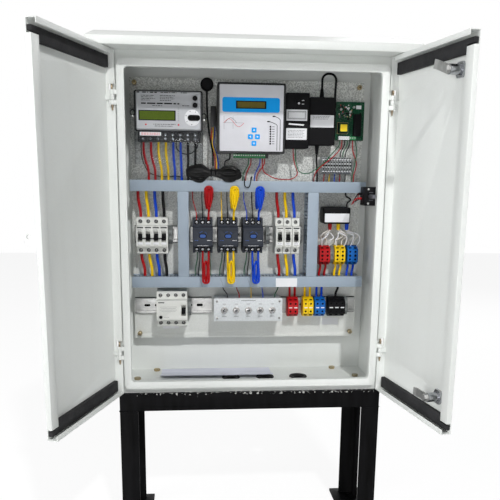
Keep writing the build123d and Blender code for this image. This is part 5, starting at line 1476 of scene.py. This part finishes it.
for path in (
    ((190.6, 36.9, 694.9), (183.3, 28.9, 685.8), (173.6, 28.9, 678.7), (175.7, 36.9, 663.1)),
    ((194.6, 36.9, 693.7), (199.6, 26.9, 684.1), (191.9, 26.9, 676.3), (192.5, 36.9, 662.4)),
    ((212.4, 36.9, 695.0), (211.1, 28.9, 685.9), (205.5, 28.9, 676.1), (210.5, 36.9, 660.9)),
    ((214.2, 36.9, 695.0), (230.4, 26.9, 686.9), (230.9, 26.9, 674.4), (226.5, 36.9, 660.9)),
    ((232.4, 36.9, 695.1), (246.7, 28.9, 689.9), (247.2, 28.9, 678.2), (242.6, 36.9, 661.7)),
    ((234.1, 36.9, 697.0), (257.1, 26.9, 692.0), (262.4, 26.9, 678.4), (257.3, 36.9, 660.9)),
):
    bench.strand(print_white, smooth_line([Vector(p) for p in path], False, 8), 1.5, 8)
bench.piece("sensor_leads")

# %% Painted shade in the slots of the mounting rails, and along their edges
bench = Bench()
slot_floor, slot_margin, slot_pitch = breaker_base - 0.4, 15.1, 25
middle_rail, low_rail = contactor_middle_z - 2, low_row
for x0, x1, z in (
    (-263, -164, middle_rail), (-134, 131, middle_rail), (-266, -84, low_rail), (84, 265, low_rail),
):
    count = int((x1 - x0 - slot_margin) // slot_pitch)
    for i in range(count):
        x = (x0 + x1) / 2 + (i - (count - 1) / 2) * slot_pitch
        # Dark slabs on the plate behind each slot: painted shade.
        bench.slab(dark_and_hole_shade, x, z, 14.6, 5.8, slot_floor, 0.3, 2.5)
    for side in (-1, 1):
        # Dark lines along each rail's edges: painted shade.
        bench.slab(dark_and_hole_shade, (x0 + x1) / 2, z + side * 19.0, x1 - x0, 1.6, breaker_base - 0.5, 0.4)
bench.piece("rail_slots")

# %% [markdown]
# ## The folded wiring diagram
# A sheet of paper, folded in two, lies on the cabinet floor. Its back rests flat and its front
# edge has sprung up a little. The sheet is drawn as one ribbon that runs from the front, round
# the fold at the back, and forward again above itself.

# %% Folded paper
low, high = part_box("wiring_diagram")
floor_level = low.z + 0.15 * mm
run = high.y - low.y - 1.0 * mm
spring = high.z - low.z - 2.2 * mm


def paper_height(share):
    """How high the sheet has sprung, from its back at 0 to its front edge at 1."""
    rise = max(0.0, (share - 0.40) / 0.60)
    return spring * (rise * rise * (3 - 2 * rise))


steps_along, steps_across = 26, 36
under = [(1 - k / steps_along, 0.0) for k in range(steps_along + 1)]
over = [(k / steps_along, 1.0) for k in range(steps_along + 1)]
spine = under + [(-0.006, 0.35), (-0.006, 0.65)] + over
rows = []
for i in range(steps_across + 1):
    across = i / steps_across
    wave = 0.5 + 0.5 * math.sin(2.2 * math.pi * across + 0.6)
    row = []
    for share, layer in spine:
        lift = 0.35 * mm + layer * (0.5 + 1.1 * max(0.0, share - 0.4)) * mm
        lift += wave * max(0.0, share - 0.5) * 1.2 * mm
        row.append((
            low.x + across * (high.x - low.x),
            high.y - 0.4 * mm - max(share, -0.004) * run,
            floor_level + paper_height(max(share, 0.0)) + lift,
        ))
    rows.append(row)
count = len(spine)
places = [p for row in rows for p in row]
faces = [
    (i * count + k, (i + 1) * count + k, (i + 1) * count + k + 1, i * count + k + 1)
    for i in range(steps_across)
    for k in range(count - 1)
]
sheet_mesh = bpy.data.meshes.new("folded_diagram")
sheet_mesh.from_pydata(places, [], faces)
sheet_mesh.materials.append(paper)
sheet = placed("folded_diagram", sheet_mesh)
thickness = sheet.modifiers.new("paper", "SOLIDIFY")
thickness.thickness = 0.16 * mm
thickness.offset = 0.0
baked(sheet)
smooth_by_angle(sheet.data, 50.0)
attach(sheet, "cabinet")
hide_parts("wiring_diagram")
bench = Bench()
low = corners("wiring_diagram")[0]
tag = [(-94.5, -4), (-63, -6), (-62.5, -20), (-94, -18)]
bench.rings([[(x, low.y - 2 + y, low.z + level) for x, y in tag] for level in (0.1, 0.5)], print_white)
bench.piece("paper_tag")


# %% Weld beads at the corners of the stand
def bead(name):
    bench = Bench()
    profile = [(-0.8, 0.35), (-0.45, 0.85), (0.0, 1.0), (0.45, 0.85), (0.8, 0.35)]
    bench.turned(enamel, (0, 0, 0), profile, 10, (0, 0, 1))
    return bpy.data.objects.new(name, bench.mesh(name, 60.0))


stand_high = corners("stand_frame")[1]
leg = 40
half_x, half_y = Front("cabinet_body").x(0.5) + 292, 99
weld_points = []
joint_z = stand_high.z - leg
for sx in (-1, 1):
    for sy in (-1, 1):
        for k in range(16):
            weld_points.append((sx * (half_x - k / 15 * leg), sy * (half_y - 0.4), joint_z))
        for k in range(12):
            weld_points.append((sx * (half_x - 0.4), sy * (half_y - k / 11 * leg * 0.7), joint_z))
        for k in range(14):
            weld_points.append((sx * (half_x - k / 13 * leg), sy * (half_y - 0.6), 6.4))
            weld_points.append((sx * (half_x - 0.6), sy * (half_y - k / 13 * leg), 6.4))
stamped("weld_beads", weld_points, bead("bead"), 1.7, enamel, 0.6, 5)

# %% [markdown]
# ## Floor, light and background
# The cabinet stands on a pale floor. One small lamp high in front throws the crisp shadows that
# the devices cast on their plate. A wide soft one on the left lights the right door, and weak
# ones from low in front and from behind keep the shaded parts readable.
# What the camera sees behind everything is white.

# %% Floor
floor_mesh = bpy.data.meshes.new("floor")
half = 6.0
square = [(-half, -half, 0), (half, -half, 0), (half, half, 0), (-half, half, 0)]
floor_mesh.from_pydata(square, [], [(0, 1, 2, 3)])
floor = placed("floor", floor_mesh)
paint = Paint("floor_pale")
seen = paint.node("ShaderNodeLightPath", output="Is Camera Ray")
matt = paint.node("ShaderNodeBsdfDiffuse", {"Color": (0.86, 0.86, 0.86, 1.0)})
glow = paint.node("ShaderNodeEmission", {"Strength": 1.10})
both = paint.node("ShaderNodeMixShader", {0: seen * 0.80, 1: matt, 2: glow})
floor_mesh.materials.append(paint.finished(both))

# %% Lamps
middle = Vector((0.0, 0.0, 0.72))


def lamp(name, azimuth, elevation, distance, size, level):
    """An area lamp; level is how bright it makes a white card that faces it."""
    data = bpy.data.lights.new(name, "AREA")
    data.shape = "SQUARE"
    data.size = size
    data.energy = level * (math.pi * distance) ** 2
    made = placed(name, data)
    side, rise = math.radians(azimuth), math.radians(elevation)
    towards = Vector((math.sin(side) * math.cos(rise), -math.cos(side) * math.cos(rise), math.sin(rise)))
    made.location = middle + towards * distance
    made.rotation_euler = towards.to_track_quat("Z", "Y").to_euler()


lamp("key", 10, 38, 5.0, 0.20, 0.50)
lamp("left_soft", -61, 11, 4.0, 2.2, 0.47)
lamp("front_soft", -8, -6, 5.0, 0.9, 0.13)
lamp("back_soft", 150, 25, 3.5, 1.5, 0.22)

# %% World: pale for lighting, brighter from the left, and white where it is seen
scene.world = bpy.data.worlds.new("world")
sky = Paint("world", scene.world)
seen = sky.node("ShaderNodeLightPath", output="Is Camera Ray")
for ray in ("Is Glossy Ray", "Is Transmission Ray"):
    seen = seen.maths("MAXIMUM", seen, sky.node("ShaderNodeLightPath", output=ray))
direction = sky.node("ShaderNodeTexCoord", output="Generated")
across = sky.node("ShaderNodeSeparateXYZ", {0: direction}, output="X")
level = sky.node("ShaderNodeMapRange", {"Value": across, "From Min": -1.0, "To Min": 0.34, "To Max": 0.08})
dim = sky.node("ShaderNodeBackground", {"Color": (0.97, 0.98, 1.0, 1.0), "Strength": level})
white = sky.node("ShaderNodeBackground", {"Color": (1.0, 1.0, 1.0, 1.0), "Strength": 1.0})
sky.finished(sky.node("ShaderNodeMixShader", {0: seen, 1: dim, 2: white}), "ShaderNodeOutputWorld")
scene.view_settings.view_transform = "Standard"
